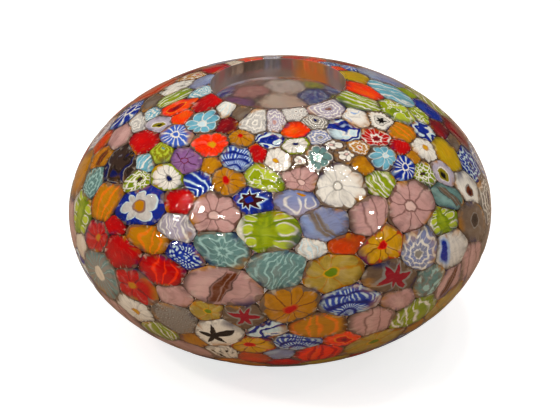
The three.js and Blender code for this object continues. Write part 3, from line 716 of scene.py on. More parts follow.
class Cane:
    """One cane's pattern, painted layer on layer. x and y run from -1 to 1 over a slice, and r and turn are
    the same place as its share of the way out and of the way round, all a little out of true. rim is the true
    share of the way out to the slice's outline."""

    WANDER, WANDER_FINE, TWIST = 0.24, 0.068, 0.06

    def __init__(self, name):
        self.material = empty_material(name)
        self.tree = self.material.node_tree
        place = add_node(self.tree, "Attribute")
        place.attribute_name = "cane"
        x, y, self.lot = coordinates(self.tree, place.outputs["Vector"])
        slow_x = self.noise(x * 1.7, y * 1.7) - 0.5
        slow_y = self.noise(x * 1.7 + 9, y * 1.7) - 0.5
        fine = self.noise(x * 8, y * 8, 3.0) - 0.5
        self.x = x + slow_x * self.WANDER + fine * self.WANDER_FINE
        self.y = y + slow_y * self.WANDER - fine * self.WANDER_FINE
        self.r = hypot(self.x, self.y)
        self.rim = hypot(x, y)
        twist = self.clouds(1.1, 1.1, 3, 6) - 0.5
        self.turn = self.r.math("ARCTAN2", self.y, self.x) / (2 * math.pi) + twist * self.TWIST
        self.paint = None

    def noise(self, u, v, detail=2.0):
        """A soft random number from 0 to 1, different in each slice."""
        at = add_node(self.tree, "CombineXYZ", (u, v, self.lot))
        node = add_node(self.tree, "TexNoise", Vector=at.outputs[0], Scale=1.0, Detail=detail)
        return Sum(self.tree, node.outputs["Fac"])

    def clouds(self, across, up, shift=0, rise=0, detail=2.0):
        """The soft random number over the slice, with this many changes across it and up it."""
        return self.noise(self.x.times_plus(across, shift), self.y.times_plus(up, rise), detail)

    def streaks(self, around, out, shift=0, detail=2.0):
        """The same by turn and by r, so that it lies in streaks from the middle out."""
        return self.noise(self.turn.times_plus(around, shift), self.r * out, detail)

    def cells(self, count, feature="F1", jitter=0.35):
        """The distance to the nearest of many rods packed side by side, or to the edge between them."""
        at = add_node(self.tree, "CombineXYZ", (self.x, self.y))
        node = add_node(self.tree, "TexVoronoi", Vector=at.outputs[0], Scale=count, Randomness=jitter)
        node.voronoi_dimensions = "2D"
        node.feature = feature
        return Sum(self.tree, node.outputs["Distance"])

    def fill(self, colour):
        self.paint = linear(colour)

    def layer(self, colour, mask):
        """Paint a colour over what is there, as far as the mask says."""
        self.paint = mixed(self.tree, mask, self.paint, linear(colour))

    def shade(self, colour, start=0.93, soft=0.09, depth=0.17):
        """Painted shade: darken the slice's edge faintly with a colour, as if it turned down away from the
        light.
        """
        self.layer(colour, self.rim.above(start, soft) * depth)

    def spoke(self, count):
        """How far round from the nearest of this many spokes: 0 on it, half between two."""
        return (self.turn * count + 0.5).apart()

    def petals(self, count, inner, outer, rounding=0.45):
        """How far a place lies outside a flower with this many petals."""
        wave = (self.turn * (math.pi * count)).cosine().size().power(rounding)
        return self.r - (wave * (outer - inner) + inner)

    def oval(self, x, y, width, height):
        return hypot((self.x - x) / width, (self.y - y) / height)


# ---- The canes' patterns ----

def grain(cane, light, dark, share=0.45):
    """The streaks and clouds that any drawn glass rod has."""
    streaks = cane.streaks(9, 1.4, detail=3.0)
    clouds = cane.clouds(1.3, 1.3)
    cane.layer(light, streaks.above(0.62, 0.14) * share * 0.5)
    cane.layer(dark, clouds.above(0.56, 0.2) * share)


def drawn_edge(cane):
    """What every slice has over its pattern: streaks, painted shade over its edge in places, fibres drawn
    outwards in it, neighbours' colours bled into it, and clear brown glass past it here and there."""
    fibres = cane.streaks(24, 2.2, detail=3.0)
    fine = cane.clouds(2.4, 9, detail=3.0)
    cane.layer("cream", fine.above(0.64, 0.08) * 0.05)
    cane.layer("umber", (1 - fine).above(0.58, 0.1) * 0.16)
    # Painted shade: black over the slice's edge, heavier in some places than in others.
    shade = cane.clouds(1.6, 1.6, 2).ramp(0.42, 0.6, 0.0, 0.72)
    cane.layer("black", cane.rim.above(0.88, 0.2) * shade)
    cane.layer("cream", fibres.above(0.6, 0.07) * cane.rim.above(0.84, 0.13) * 0.42)
    cane.layer("umber", (1 - fibres).above(0.6, 0.07) * cane.rim.above(0.76, 0.18) * 0.4)
    bleed = cane.clouds(0.9, 0.9, 20, detail=3.0) + (fibres - 0.5) * 0.2
    near = cane.rim.above(0.78, 0.26)
    cane.layer("navy", near * bleed.above(0.62, 0.06) * 0.75)
    cane.layer("amber", near * (1 - bleed).above(0.62, 0.06) * 0.7)
    loose = cane.clouds(1.7, 1.7, 8).ramp(0.46, 0.72, -0.02, 0.2)
    beyond = cane.rim + loose + (fibres - 0.5) * 0.18
    cane.layer("tan", beyond.above(1.03, 0.05) * 0.75)
    cane.layer("umber", (beyond - 1.03).line(0.02, 0.03) * 0.4)


def plain(cane, base, light, dark):
    """One glass, with its streaks and clouds, a painted highlight to one side and painted shade at its edge.
    """
    cane.fill(base)
    grain(cane, light, dark)
    # Painted highlight: a soft lighter patch to one side of the slice.
    cane.layer(light, cane.oval(-0.25, 0.3, 0.6, 0.35).below(0.9, 0.5) * 0.3)
    cane.shade(dark, 0.92, 0.12, 0.2)


def ball(cane, base, light, dark):
    """One glass, melted round, with a painted highlight over its middle and painted shade round its edge."""
    cane.fill(base)
    # Painted highlight over the middle.
    cane.layer(light, cane.oval(-0.1, 0.15, 0.75, 0.7).below(0.5, 0.5) * 0.5)
    # Painted shade round the edge.
    cane.layer(dark, cane.r.above(0.86, 0.14) * 0.41)
    cane.layer(dark, cane.clouds(1, 1).above(0.6, 0.15) * 0.3)


def barrel(cane, base, stripe, dark, light, stripes=2.0, width=0.16):
    """A cane lying on its side, its stripes along it, with a painted highlight along it and painted shade at
    its sides and ends.
    """
    bulge = cane.x * (cane.y * cane.y * 0.3 + 1)
    cane.fill(base)
    # Painted highlight: a soft lighter line along the cane's round side.
    cane.layer(light, (bulge + 0.3).line(0.05, 0.3) * 0.55)
    band = (bulge * stripes + cane.clouds(1, 1) * 0.25 + 0.13).apart()
    cane.layer(stripe, band.below(width, 0.09) * cane.clouds(3, 0.8).above(0.36, 0.12))
    # Painted shade: the cane darker at its sides and its ends.
    cane.layer(dark, cane.x.size().above(0.86, 0.16) * 0.7)
    cane.layer(dark, cane.y.size().above(0.9, 0.08) * 0.5)


def belted(cane, base, band, dark, light, across=0.3):
    """A barrel with one broad band of another glass drawn into it, and a painted highlight down one side."""
    lean = cane.x * 0.86 + cane.y * across
    cane.fill(base)
    # Painted highlight: a broad soft lighter line down one side, as on the barrel.
    cane.layer(light, (lean + 0.45).line(0.12, 0.25) * 0.5)
    cane.layer(band, lean.line(0.2, 0.06) * cane.y.size().below(0.72, 0.1))
    cane.layer(dark, (lean.size() - 0.23).line(0.02, 0.03) * cane.y.size().below(0.75, 0.1))
    cane.layer(light, (lean - 0.02).line(0.02, 0.03) * 0.4)
    cane.layer(dark, (lean - 0.62).line(0.015, 0.03) * 0.5)
    grain(cane, light, dark, 0.3)
    cane.shade(dark, 0.92, 0.1, 0.18)


def flower(cane, ground, petal, centre, core, count=8, inner=0.5, outer=0.93, vein="", outline=""):
    """A flower cut across: rounded petals round a ringed middle."""
    edge = cane.petals(count, inner, outer, 0.4)
    within = edge.below(0.0, 0.03)
    cane.fill(ground)
    cane.shade("umber", 0.93, 0.1, 0.13)
    if outline:
        cane.layer(outline, edge.below(0.07, 0.025))
    cane.layer(petal, edge.below(0.0, 0.025))
    if vein:
        cleft = (0.5 - cane.spoke(count)) * cane.r
        cane.layer(vein, cleft.below(0.03, 0.025) * cane.r.above(0.24, 0.03) * within * 0.85)
    cane.layer("white", cane.streaks(12, 1.5).above(0.6, 0.12) * within * 0.1)
    cane.layer("umber", cane.streaks(10, 1.2, 4).above(0.6, 0.14) * within * 0.25)
    middle = cane.oval(0, 0, 0.27, 0.23)
    cane.layer(core, middle.below(1.0, 0.12) * 0.9)
    cane.layer(centre, middle.below(0.72, 0.12))


def daisy(cane, ground, petal, centre, core, count=11, reach=0.86, slim=0.3):
    """Narrow separate petals round a middle."""
    cane.fill(ground)
    grain(cane, petal, "umber", 0.2)
    spoke = cane.spoke(count)
    half_width = cane.r * ((1 - slim) * 0.45 / reach)
    cane.layer(petal, (spoke - half_width).below(0.0, 0.07) * cane.r.below(reach, 0.05) * cane.r.above(0.16))
    cane.layer("pearl", spoke.below(0.06, 0.05) * cane.r.below(reach - 0.15, 0.1) * 0.4)
    cane.layer(core, cane.r.below(0.3, 0.04))
    cane.layer(centre, cane.r.below(0.19, 0.05))


def star(cane, ground, figure, centre, points=6, inner=0.24, outer=0.72, outline="", halo=""):
    """A pointed star in clear or coloured glass."""
    reach = (1 - cane.spoke(points) * 2).power(1.5) * (outer - inner) + inner
    edge = cane.r - reach
    cane.fill(ground)
    if halo:
        cane.layer(halo, (edge - 0.17).below(0.0, 0.05))
    if outline:
        cane.layer(outline, edge.below(0.1, 0.03))
    cane.layer(figure, edge.below(0.0, 0.025))
    cane.layer(centre, cane.oval(0, 0, 0.24, 0.24).below(1.0, 0.15))


def frills(cane, base, line, count=9, rings=4.0, sway=0.09, middle="", dark="umber", width=0.17):
    """Thin wavy rings of thread, closed up as loops near the rim."""
    wave = (cane.turn * (2 * math.pi * count)).sine() * sway
    band = (cane.r * rings + wave * rings * cane.r).apart()
    cane.fill(base)
    cane.layer(dark, cane.clouds(1.5, 1.5).above(0.56, 0.12) * 0.4)
    broken = cane.streaks(14, 4).above(0.36, 0.08)
    cane.layer(line, band.below(width, 0.09) * broken)
    spokes = cane.spoke(count * 2).below(0.08, 0.06)
    cane.layer(line, spokes * cane.r.above(0.3, 0.05) * cane.r.below(0.85, 0.05) * 0.55)
    if middle:
        cane.layer(middle, cane.oval(0, 0, 0.2, 0.14).below(1.0, 0.25))
    cane.shade(dark, 0.93, 0.07)


def threads(cane, base, line, dark, lean=0.25, number=7.0):
    """Fine pale threads drawn along the slice, some broken."""
    along = cane.x + cane.y * lean + cane.clouds(1.2, 1.2) * 0.7
    band = (along * (number / 2)).apart()
    cane.fill(base)
    cane.layer(dark, cane.clouds(2, 0.7, 4).above(0.55, 0.12) * 0.5)
    cane.layer(line, band.below(0.13, 0.09) * cane.clouds(5, 1.6, detail=3.0).above(0.43, 0.1))
    cane.layer(line, cane.clouds(8, 1.1, detail=3.0).above(0.62, 0.06) * 0.6)
    cane.shade(dark, 0.92, 0.1)


def bundle(cane, ground, ring, core, count=3.4):
    """Many small ringed rods fused side by side."""
    near = cane.cells(count)
    cane.fill(ground)
    cane.layer(ring, (near - 0.3).line(0.07, 0.05))
    cane.layer(core, near.below(0.13, 0.06))
    cane.shade("umber", 0.93, 0.08)


def lace(cane, ground, line, core, dark, count=2.6):
    """A net of pale lines over dark glass, round a dark middle."""
    cane.fill(ground)
    cane.layer(dark, cane.clouds(2, 2).above(0.52, 0.1) * 0.7)
    cane.layer(line, cane.cells(count, "DISTANCE_TO_EDGE", 0.9).below(0.1, 0.05))
    cane.layer(line, cane.petals(9, 0.3, 0.46).line(0.05, 0.03))
    cane.layer(core, cane.oval(0.05, 0, 0.24, 0.17).below(1.0, 0.2))
    cane.shade(dark, 0.94, 0.06)


def loops(cane, base, line, light, dark, rows=4.0):
    """A cane on its side with a column of open loops down each end, and a painted highlight down its middle.
    """
    row = (cane.y * (rows / 2) + 0.5).part() - 0.5
    arm = hypot((cane.x.size() - 0.6) / 0.3, row / 0.36)
    cane.fill(base)
    cane.layer(dark, cane.clouds(5, 0.9, detail=3.0).above(0.5, 0.1) * 0.7)
    cane.layer(dark, (row.size() - 0.5).line(0.08, 0.08) * 0.8)
    # Painted highlight: the cane lighter down its middle.
    cane.layer(light, cane.oval(0, 0, 0.3, 0.8).below(0.6, 0.4) * 0.4)
    cane.layer(light, arm.below(0.85, 0.16))
    cane.layer(line, (arm - 0.95).line(0.12, 0.12) * (cane.x.size() + row.size() * 0.4).above(0.5, 0.1) * 0.9)
    cane.layer(line, cane.oval(-0.95, 0, 0.22, 0.5).below(0.9, 0.3) * 0.8)
    cane.shade(dark, depth=0.2)


def zigzag(cane, base, line, light, arches=2.2, teeth=16.0):
    """Arches of short pale strokes, one over another, as a comb drawn through the glass leaves them."""
    height = hypot(cane.x * 0.9, cane.y + 0.95)
    lean = cane.r.math("ARCTAN2", cane.x * 0.9, cane.y + 1.1)
    arch = (height * arches).apart()
    strokes = (lean * (teeth / 2) + cane.clouds(2, 2) * 0.9).apart()
    cane.fill(base)
    cane.layer(light, arch.below(0.32, 0.14) * 0.55)
    cane.layer(line, strokes.below(0.2, 0.1) * arch.below(0.3, 0.12) * cane.clouds(6, 3).above(0.38, 0.1))
    cane.layer(line, (cane.rim - 0.9).line(0.05, 0.05) * cane.streaks(14, 1).above(0.45, 0.08) * 0.8)
    cane.layer("navy", arch.above(0.4, 0.08) * 0.6)


def swirl(cane, base, light, line, dark, bands=1.3):
    """Two glasses folded into each other in broad waves."""
    fold = cane.clouds(0.9, 0.9, detail=1.0) * 3.2 + cane.x * 0.6 + cane.y * 0.3
    band = (fold * bands).part()
    cane.fill(base)
    cane.layer(light, (band - 0.5).line(0.22, 0.1))
    cane.layer(line, (band - 0.32).line(0.05, 0.04))
    cane.layer(dark, (band - 0.86).line(0.08, 0.08) * 0.7)
    cane.shade(dark)


def mottle(cane, base, light, line, dark):
    """Crushed pieces of two or three glasses."""
    cane.fill(base)
    pieces = cane.clouds(2.1, 2.1, 5)
    cane.layer(dark, cane.clouds(1.6, 1.6).above(0.55, 0.06) * 0.8)
    cane.layer(light, pieces.above(0.53, 0.05))
    cane.layer(line, (pieces - 0.53).line(0.022, 0.015))
    cane.shade(dark)


def sun(cane, ground, body, ring, figure):
    """A toothed disc with a grey ring and a small star in its middle."""
    cane.fill(ground)
    cane.layer(body, cane.petals(22, 0.8, 0.93, 1.0).below(0.0, 0.02))
    cane.layer(ring, (cane.r - 0.5).line(0.035, 0.02))
    cane.layer(ring, cane.r.below(0.46, 0.05) * 0.35)
    reach = (1 - cane.spoke(6) * 2).power(1.2) * 0.2 + 0.16
    cane.layer(figure, (cane.r - reach).below(0.0, 0.03))


def rays(cane, base, ray, light, dark, count=12):
    """Narrow rays out of a pale middle."""
    spoke = cane.spoke(count)
    cane.fill(base)
    cane.layer(light, spoke.below(0.2, 0.1) * cane.r.above(0.2, 0.1) * 0.8)
    cane.layer(ray, spoke.below(0.1, 0.06) * cane.r.above(0.25, 0.05) * cane.r.below(0.86, 0.08))
    cane.layer(ray, (cane.r - 0.25).line(0.05, 0.03))
    cane.shade(dark, 0.9, 0.1, 0.23)


def arcs(cane, base, line, light, dark):
    """A few bands bent over one side."""
    bow = hypot(cane.x + 0.5, cane.y + 0.9)
    band = (bow * 2.3).apart()
    cane.fill(base)
    cane.layer(light, band.below(0.26, 0.12) * 0.7)
    cane.layer(line, band.below(0.12, 0.06))
    cane.shade(dark, 0.9, 0.12, 0.23)


def eye(cane, base, iris, pupil, ring, width=0.5, height=0.36):
    """An oval middle of another glass, ringed."""
    cane.fill(base)
    grain(cane, "white", ring, 0.25)
    at = cane.oval(0, 0, width, height)
    cane.layer(ring, (at - 1.08).line(0.09, 0.07))
    cane.layer(iris, at.below(1.0, 0.1))
    cane.layer(pupil, at.below(0.5, 0.2))
    cane.shade(ring)


def jags(cane, base, streak, soft):
    """Dark jagged streaks over a pale glass."""
    cane.fill(base)
    teeth = cane.clouds(4, 1.3, detail=3.0)
    cane.layer(soft, teeth.above(0.52, 0.08) * 0.6)
    cane.layer(streak, teeth.above(0.6, 0.03))
    cane.shade(streak, 0.96, 0.05, 0.2)


def cups(cane, base, line, mark, dark):
    """Two pale cups hanging from the top, and a small mark over them."""
    arm = hypot((cane.x.size() - 0.4) / 0.3, (cane.y + 0.05) / 0.6)
    cane.fill(base)
    cane.layer("lilac", cane.y.below(-0.2, 0.5) * 0.7)
    cane.layer(line, (arm - 0.9).line(0.16, 0.12) * cane.y.below(0.3, 0.15) * 0.85)
    cane.layer(mark, cane.oval(0, 0.62, 0.3, 0.13).below(1.0, 0.15))
    cane.shade(dark, 0.93, 0.08)


def dots(cane, base, dot, dark, light):
    """A rosette of small dots in rings."""
    ringed = cane.r * 4.6
    around = cane.turn * (ringed.floor() * 6 + 1)
    spot = hypot(around.part() - 0.5, ringed.part() - 0.5)
    cane.fill(base)
    cane.layer(light, cane.r.below(0.25, 0.2) * 0.5)
    cane.layer(dot, spot.below(0.24, 0.09) * cane.r.below(0.84, 0.04))
    cane.layer(dot, cane.spoke(20).below(0.16, 0.08) * (cane.r - 0.66).line(0.07, 0.03) * 0.8)
    cane.shade(dark, 0.93, 0.08, 0.2)


def core(cane, base, soft, heart, dark):
    """A pale barrel with a coloured core showing through its side."""
    cane.fill(base)
    cane.layer(soft, cane.clouds(4, 0.9, detail=3.0).above(0.5, 0.12) * 0.7)
    cane.layer("sky", cane.oval(-0.35, 0, 0.4, 0.75).below(1.0, 0.25) * 0.8)
    cane.layer(heart, cane.oval(-0.4, 0, 0.24, 0.6).below(1.0, 0.2))
    cane.shade(dark, 0.92, 0.1, 0.2)


# Each cane: how it is painted and in which colours.
CANES = {
    "amber.ball": (ball, "brass", "yellow", "olive"),
    "amber.barrel": (barrel, "amber", "tangerine", "brown", "yellow"),
    "amber.eye": (flower, "smoke", "amber", "red", "rust", 9, 0.7, 0.94, "brown"),
    "amber.flower": (flower, "rust", "yellow", "red", "scarlet", 8, 0.68, 0.95, "brown"),
    "amber.glassy": (flower, "amber", "gold", "leaf", "yellow", 6, 0.6, 0.98, "amber"),
    "amber.lace": (frills, "amber", "white", 8, 2.2, 0.12, "rust", "brown"),
    "amber.plain": (plain, "amber", "yellow", "brown"),
    "amber.stripe": (belted, "amber", "brown", "umber", "tangerine"),
    "aqua.flower": (flower, "smoke", "aqua", "ice", "white", 8, 0.5, 0.88, "white", "ice"),
    "aqua.lace": (frills, "aqua", "white", 8, 3.2, 0.12, "", "teal", 0.2),
    "aqua.outlined": (flower, "smoke", "teal", "sea", "white", 8, 0.5, 0.84, "umber", "white"),
    "aqua.threads": (threads, "aqua", "white", "teal", 0.2, 4.0),
    "cobalt.arcs": (arcs, "cobalt", "ice", "blue", "navy"),
    "cobalt.daisy": (rays, "blue", "white", "sky", "navy", 14),
    "cobalt.dots": (dots, "cobalt", "ice", "navy", "blue"),
    "cobalt.flower": (flower, "cobalt", "pearl", "amber", "dusk", 6, 0.3, 0.72, "", "ice"),
    "cobalt.lace": (frills, "cobalt", "ice", 9, 3.0, 0.1, "navy", "navy"),
    "cobalt.plain": (plain, "cobalt", "blue", "navy"),
    "cobalt.rays": (rays, "cobalt", "white", "sky", "navy", 12),
    "cobalt.star": (star, "cobalt", "maroon", "cobalt", 8, 0.42, 0.72, "ice", "blue"),
    "cobalt.swirl": (swirl, "cobalt", "ice", "white", "navy"),
    "cobalt.zigzag": (zigzag, "cobalt", "ice", "blue"),
    "lavender.cup": (cups, "lavender", "white", "amber", "smoke"),
    "lavender.eye": (eye, "lilac", "olive", "black", "white"),
    "lavender.flower": (flower, "mauve", "mauve", "mauve", "garnet", 7, 0.7, 0.98, "maroon"),
    "lavender.lace": (frills, "lavender", "white", 8, 3.0, 0.1, "grey", "grey"),
    "lavender.plain": (plain, "lavender", "ice", "grey"),
    "lavender.stripe": (belted, "lavender", "smoke", "grey", "sky", 0.5),
    "lavender.threads": (threads, "lilac", "white", "grey", 0.35, 7.0),
    "lime.daisy": (flower, "lime", "white", "navy", "grey", 13, 0.72, 0.88, "grey"),
    "lime.lace": (lace, "lime", "white", "umber", "leaf"),
    "lime.loops": (loops, "lime", "white", "spring", "leaf"),
    "lime.mottle": (mottle, "lime", "spring", "white", "leaf"),
    "lime.plain": (plain, "lime", "spring", "leaf"),
    "lime.rings": (frills, "olive", "spring", 7, 3.0, 0.06, "teal", "leaf", 0.22),
    "lime.threads": (threads, "lime", "white", "leaf", 0.3, 5.0),
    "orange.barrel": (barrel, "orange", "red", "garnet", "tangerine"),
    "orange.deep": (plain, "rust", "orange", "brown"),
    "orange.eye": (eye, "orange", "red", "garnet", "tangerine"),
    "orange.flower": (flower, "smoke", "orange", "yellow", "tangerine", 9, 0.7, 0.93, "scarlet"),
    "orange.plain": (plain, "orange", "tangerine", "rust"),
    "red.ball": (ball, "red", "scarlet", "garnet"),
    "red.barrel": (barrel, "red", "orange", "garnet", "scarlet", 2.0, 0.1),
    "red.dark": (plain, "garnet", "red", "maroon"),
    "red.flower": (flower, "dusk", "red", "amber", "rust", 5, 0.62, 0.96, "garnet"),
    "red.plain": (plain, "red", "scarlet", "garnet"),
    "red.threads": (frills, "red", "white", 7, 1.6, 0.14, "garnet", "garnet", 0.12),
    "rose.barrel": (barrel, "rose", "dusk", "smoke", "blush", 1.6, 0.05),
    "rose.flower": (flower, "dusk", "rose", "blush", "dusk", 8, 0.74, 0.97, "dusk"),
    "rose.plain": (plain, "rose", "blush", "dusk"),
    "rose.rings": (frills, "lilac", "white", 9, 4.2, 0.05, "dusk", "dusk"),
    "rose.stripe": (belted, "rose", "brown", "umber", "blush", -0.45),
    "rose.threads": (frills, "lilac", "white", 12, 3.6, 0.14, "rose", "dusk"),
    "smoke.dots": (bundle, "grey", "tan", "pearl", 5.5),
    "smoke.eye": (eye, "smoke", "umber", "black", "grey", 0.24, 0.32),
    "smoke.lace": (frills, "grey", "white", 9, 4.4, 0.07, "navy", "umber"),
    "smoke.navy": (swirl, "umber", "navy", "grey", "black"),
    "smoke.plain": (plain, "smoke", "grey", "umber"),
    "smoke.star": (star, "tan", "crimson", "crimson", 6, 0.3, 0.8, "", "grey"),
    "teal.daisy": (daisy, "grey", "teal", "cream", "cream", 16, 0.95, 0.3),
    "teal.lace": (frills, "teal", "sea", 8, 3.0, 0.1, "", "umber"),
    "teal.loops": (frills, "teal", "sea", 7, 2.2, 0.17, "", "umber", 0.12),
    "teal.mottle": (mottle, "teal", "sea", "grey", "smoke"),
    "teal.stripe": (belted, "teal", "smoke", "umber", "sea"),
    "teal.zigzag": (threads, "teal", "sea", "grey", -0.6, 8.0),
    "white.core": (core, "pearl", "white", "cobalt", "smoke"),
    "white.daisy": (flower, "smoke", "white", "yellow", "amber", 12, 0.78, 0.97, "pearl"),
    "white.eye": (eye, "white", "brown", "maroon", "grey", 0.42, 0.3),
    "white.flower": (flower, "smoke", "white", "white", "grey", 8, 0.68, 0.95, "pearl"),
    "white.jags": (jags, "white", "black", "grey"),
    "white.lace": (frills, "pearl", "white", 9, 3.0, 0.08, "", "grey"),
    "white.petals": (flower, "smoke", "white", "blush", "maroon", 6, 0.4, 0.74, "grey", "maroon"),
    "white.plain": (plain, "cream", "white", "rose"),
    "white.rings": (bundle, "pearl", "white", "dusk", 3.2),
    "white.star": (star, "white", "black", "black", 5, 0.22, 0.78),
    "white.sun": (sun, "smoke", "white", "grey", "black"),
    "white.swirl": (swirl, "white", "white", "sky", "pearl"),
    "white.threads": (threads, "white", "ice", "grey", 0.2, 5.0),
}
# Laid with their length up the front.
UPRIGHT = (barrel, belted, threads, loops, zigzag, cups, core, arcs, jags)
CANE_ROUGHNESS = 0.55


def cane_material(name):
    """The cane's glass as an opaque body colour. It lies in clear glass, so it has no gloss of its own."""
    cane = Cane(name)
    painter, *colours = CANES[name]
    painter(cane, *colours)
    drawn_edge(cane)
    shader = add_node(cane.tree, "BsdfPrincipled", Base_Color=cane.paint, Roughness=CANE_ROUGHNESS,
                      Specular_IOR_Level=0.0)
    add_node(cane.tree, "OutputMaterial", Surface=shader.outputs[0])
    return cane.material


# ---- The clear glass ----

GLASS_TINT = (0.97, 0.955, 0.93, 1.0)
GLASS_IOR = 1.5
GLASS_ABSORBS = (0.60, 0.50, 0.42, 1.0)
GLASS_DENSITY = 26.0
POLISHED, GROUND = 0.02, 0.5  # roughness
# The colour the bore's glass is darkened to; the inner skin is taken a little towards it.
BORE_TINT = (0.17, 0.115, 0.09, 1.0)
BORE_AMBER = (0.80, 0.29, 0.02, 1.0)  # where an amber smear in the gather lies behind it
BORE_AMBER_SIDE = Vector((0.54, 0.84, 0.0))
BORE_AMBER_SHARE = 0.8
BORE_MILK = 0.32  # how much of the satin-ground bore is seen as a surface of its own
BORE_SKIN = 0.14 * MM  # how far out from the bore's radius its surface may wave
BORE_HEIGHT = 20 * MM  # above the floor, where the bore's surface starts
# How far the inner skin is darkened towards the bore's brown-grey.
INNER_DARKENING = 0.12
INNER_SATIN = 0.8  # the inner skin is a little rough from the blowing
SMOKE_SCALE, RIPPLE_SCALE, CALM_SCALE = 45.0, 230.0, 48.0
RIPPLE_HEIGHT = 0.42 * MM
RIPPLE_LEAST = 0.12  # the share of the ripples that is left where the skin is calm


def skin_parts(x, y, z):
    """Masks of the ground base, of the bore and of the inner skin."""
    out = hypot(x, y)
    base = z.below(0.3 * MM, 0.2 * MM)
    bore = out.below(MOUTH_RADIUS + BORE_SKIN, 0.1 * MM) * z.above(FLOOR_THICKNESS + BORE_HEIGHT, MM)
    lift = (z - CENTRE.z) / half_height_at(WALL_THICKNESS / 2)
    spread = out / radius_at(WALL_THICKNESS / 2)
    inside = (lift * lift + spread * spread).below(1.0, 0.02) * z.above(FLOOR_THICKNESS / 2, MM)
    return base, bore, inside


def rippled_normal(tree, place):
    """The skin's small ripples, lively in some places and nearly calm in others."""
    ripple = add_node(tree, "TexNoise", Vector=place, Scale=RIPPLE_SCALE, Detail=3.0, Roughness=0.6,
                      Distortion=1.6)
    calm = add_node(tree, "TexNoise", Vector=place, Scale=CALM_SCALE)
    lively = Sum(tree, calm.outputs["Fac"]).ramp(0.5, 0.6, RIPPLE_LEAST, 1.0)
    height = Sum(tree, ripple.outputs["Fac"]) * lively
    return add_node(tree, "Bump", Strength=0.5, Distance=RIPPLE_HEIGHT, Height=height).outputs[0]


def glass_material():
    """Clear, faintly brown glass, fire-polished and rippled, but ground satin at the mouth and the base."""
    material = empty_material("clear_glass")
    tree = material.node_tree
    place = add_node(tree, "TexCoord").outputs["Object"]
    x, y, z = coordinates(tree, place)
    base, bore, inside = skin_parts(x, y, z)
    # A soft noise that varies how dark the bore and the inner skin are coloured.
    smoke = Sum(tree, add_node(tree, "TexNoise", Vector=place, Scale=SMOKE_SCALE).outputs["Fac"])
    facing = (x * BORE_AMBER_SIDE.x + y * BORE_AMBER_SIDE.y) / hypot(x, y)
    amber = facing.above(0.955, 0.03) * bore
    tinted = bore.most(inside * INNER_DARKENING)
    colour = mixed(tree, tinted * smoke.ramp(0.3, 0.7, 0.75, 1.0), GLASS_TINT, BORE_TINT)
    glass = add_node(
        tree, "BsdfPrincipled", IOR=GLASS_IOR, Normal=rippled_normal(tree, place),
        Base_Color=mixed(tree, amber * BORE_AMBER_SHARE, colour, BORE_AMBER),
        Roughness=base.most(bore).most(inside * INNER_SATIN) * (GROUND - POLISHED) + POLISHED,
        Transmission_Weight=1 - tinted * BORE_MILK)

    # Lamps and bounced light reach the slices straight through the skin.
    open_ = add_node(tree, "BsdfTransparent", Color=GLASS_TINT)
    shown = by_ray(tree, glass.outputs[0], (("Is Shadow Ray", open_), ("Is Diffuse Ray", open_)))
    absorb = add_node(tree, "VolumeAbsorption", Color=GLASS_ABSORBS, Density=GLASS_DENSITY)
    add_node(tree, "OutputMaterial", Surface=shown, Volume=absorb.outputs[0])
    return material


# ---- Building the bowl ----

GOLDEN_TURN = math.radians(137.508)


def patch_finder():
    """A search over the CAD's patches of slices, to find which one a slice lies in."""
    points, faces, owners = [], [], []
    for name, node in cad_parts.items():
        if not name.startswith("murrine_"):
            continue
        start = len(points)
        points += [vert.co.copy() for vert in node.data.vertices]
        faces += [[start + i for i in face.vertices] for face in node.data.polygons]
        owners += [name] * len(node.data.polygons)
    return BVHTree.FromPolygons(points, faces), owners


def build_slices(slices):
    noise.seed_set(WANDER_SEED)
    points = slices + mouth_guards()
    triangles = neighbour_triangles(points)
    meetings = [meeting_direction(corners, points) for corners in triangles]
    tree, owners = patch_finder()
    materials = {name: cane_material(name) for name in sorted(CANES)}
    outlines = slice_outlines(slices, triangles, meetings)
    for number, (slice_, ring) in enumerate(zip(slices, outlines), start=1):
        upright = number <= len(LAID_SLICES) and CANES[slice_["cane"]][0] in UPRIGHT
        turn = 0.0 if upright else GOLDEN_TURN * number
        piece = slice_mesh(f"murrina_{number:03d}", slice_, ring, turn, SERIAL_STEP * number)
        piece.data.materials.append(materials[slice_["cane"]])
        _, _, face, _ = tree.find_nearest(on_surface(slice_["direction"], (SLICE_TOP + SLICE_BACK) / 2, MM))
        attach(piece, "root")
        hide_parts(owners[face])
        "cane_" + slice_["cane"].split(".")[0]


def build_bowl():
    slices = lay_all_slices()
    build_slices(slices)
    body = build_body(slices)
    body.data.materials.append(glass_material())
    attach(body, "root")
    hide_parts("outer_casing", "inner_gather")


# ---- The studio ----

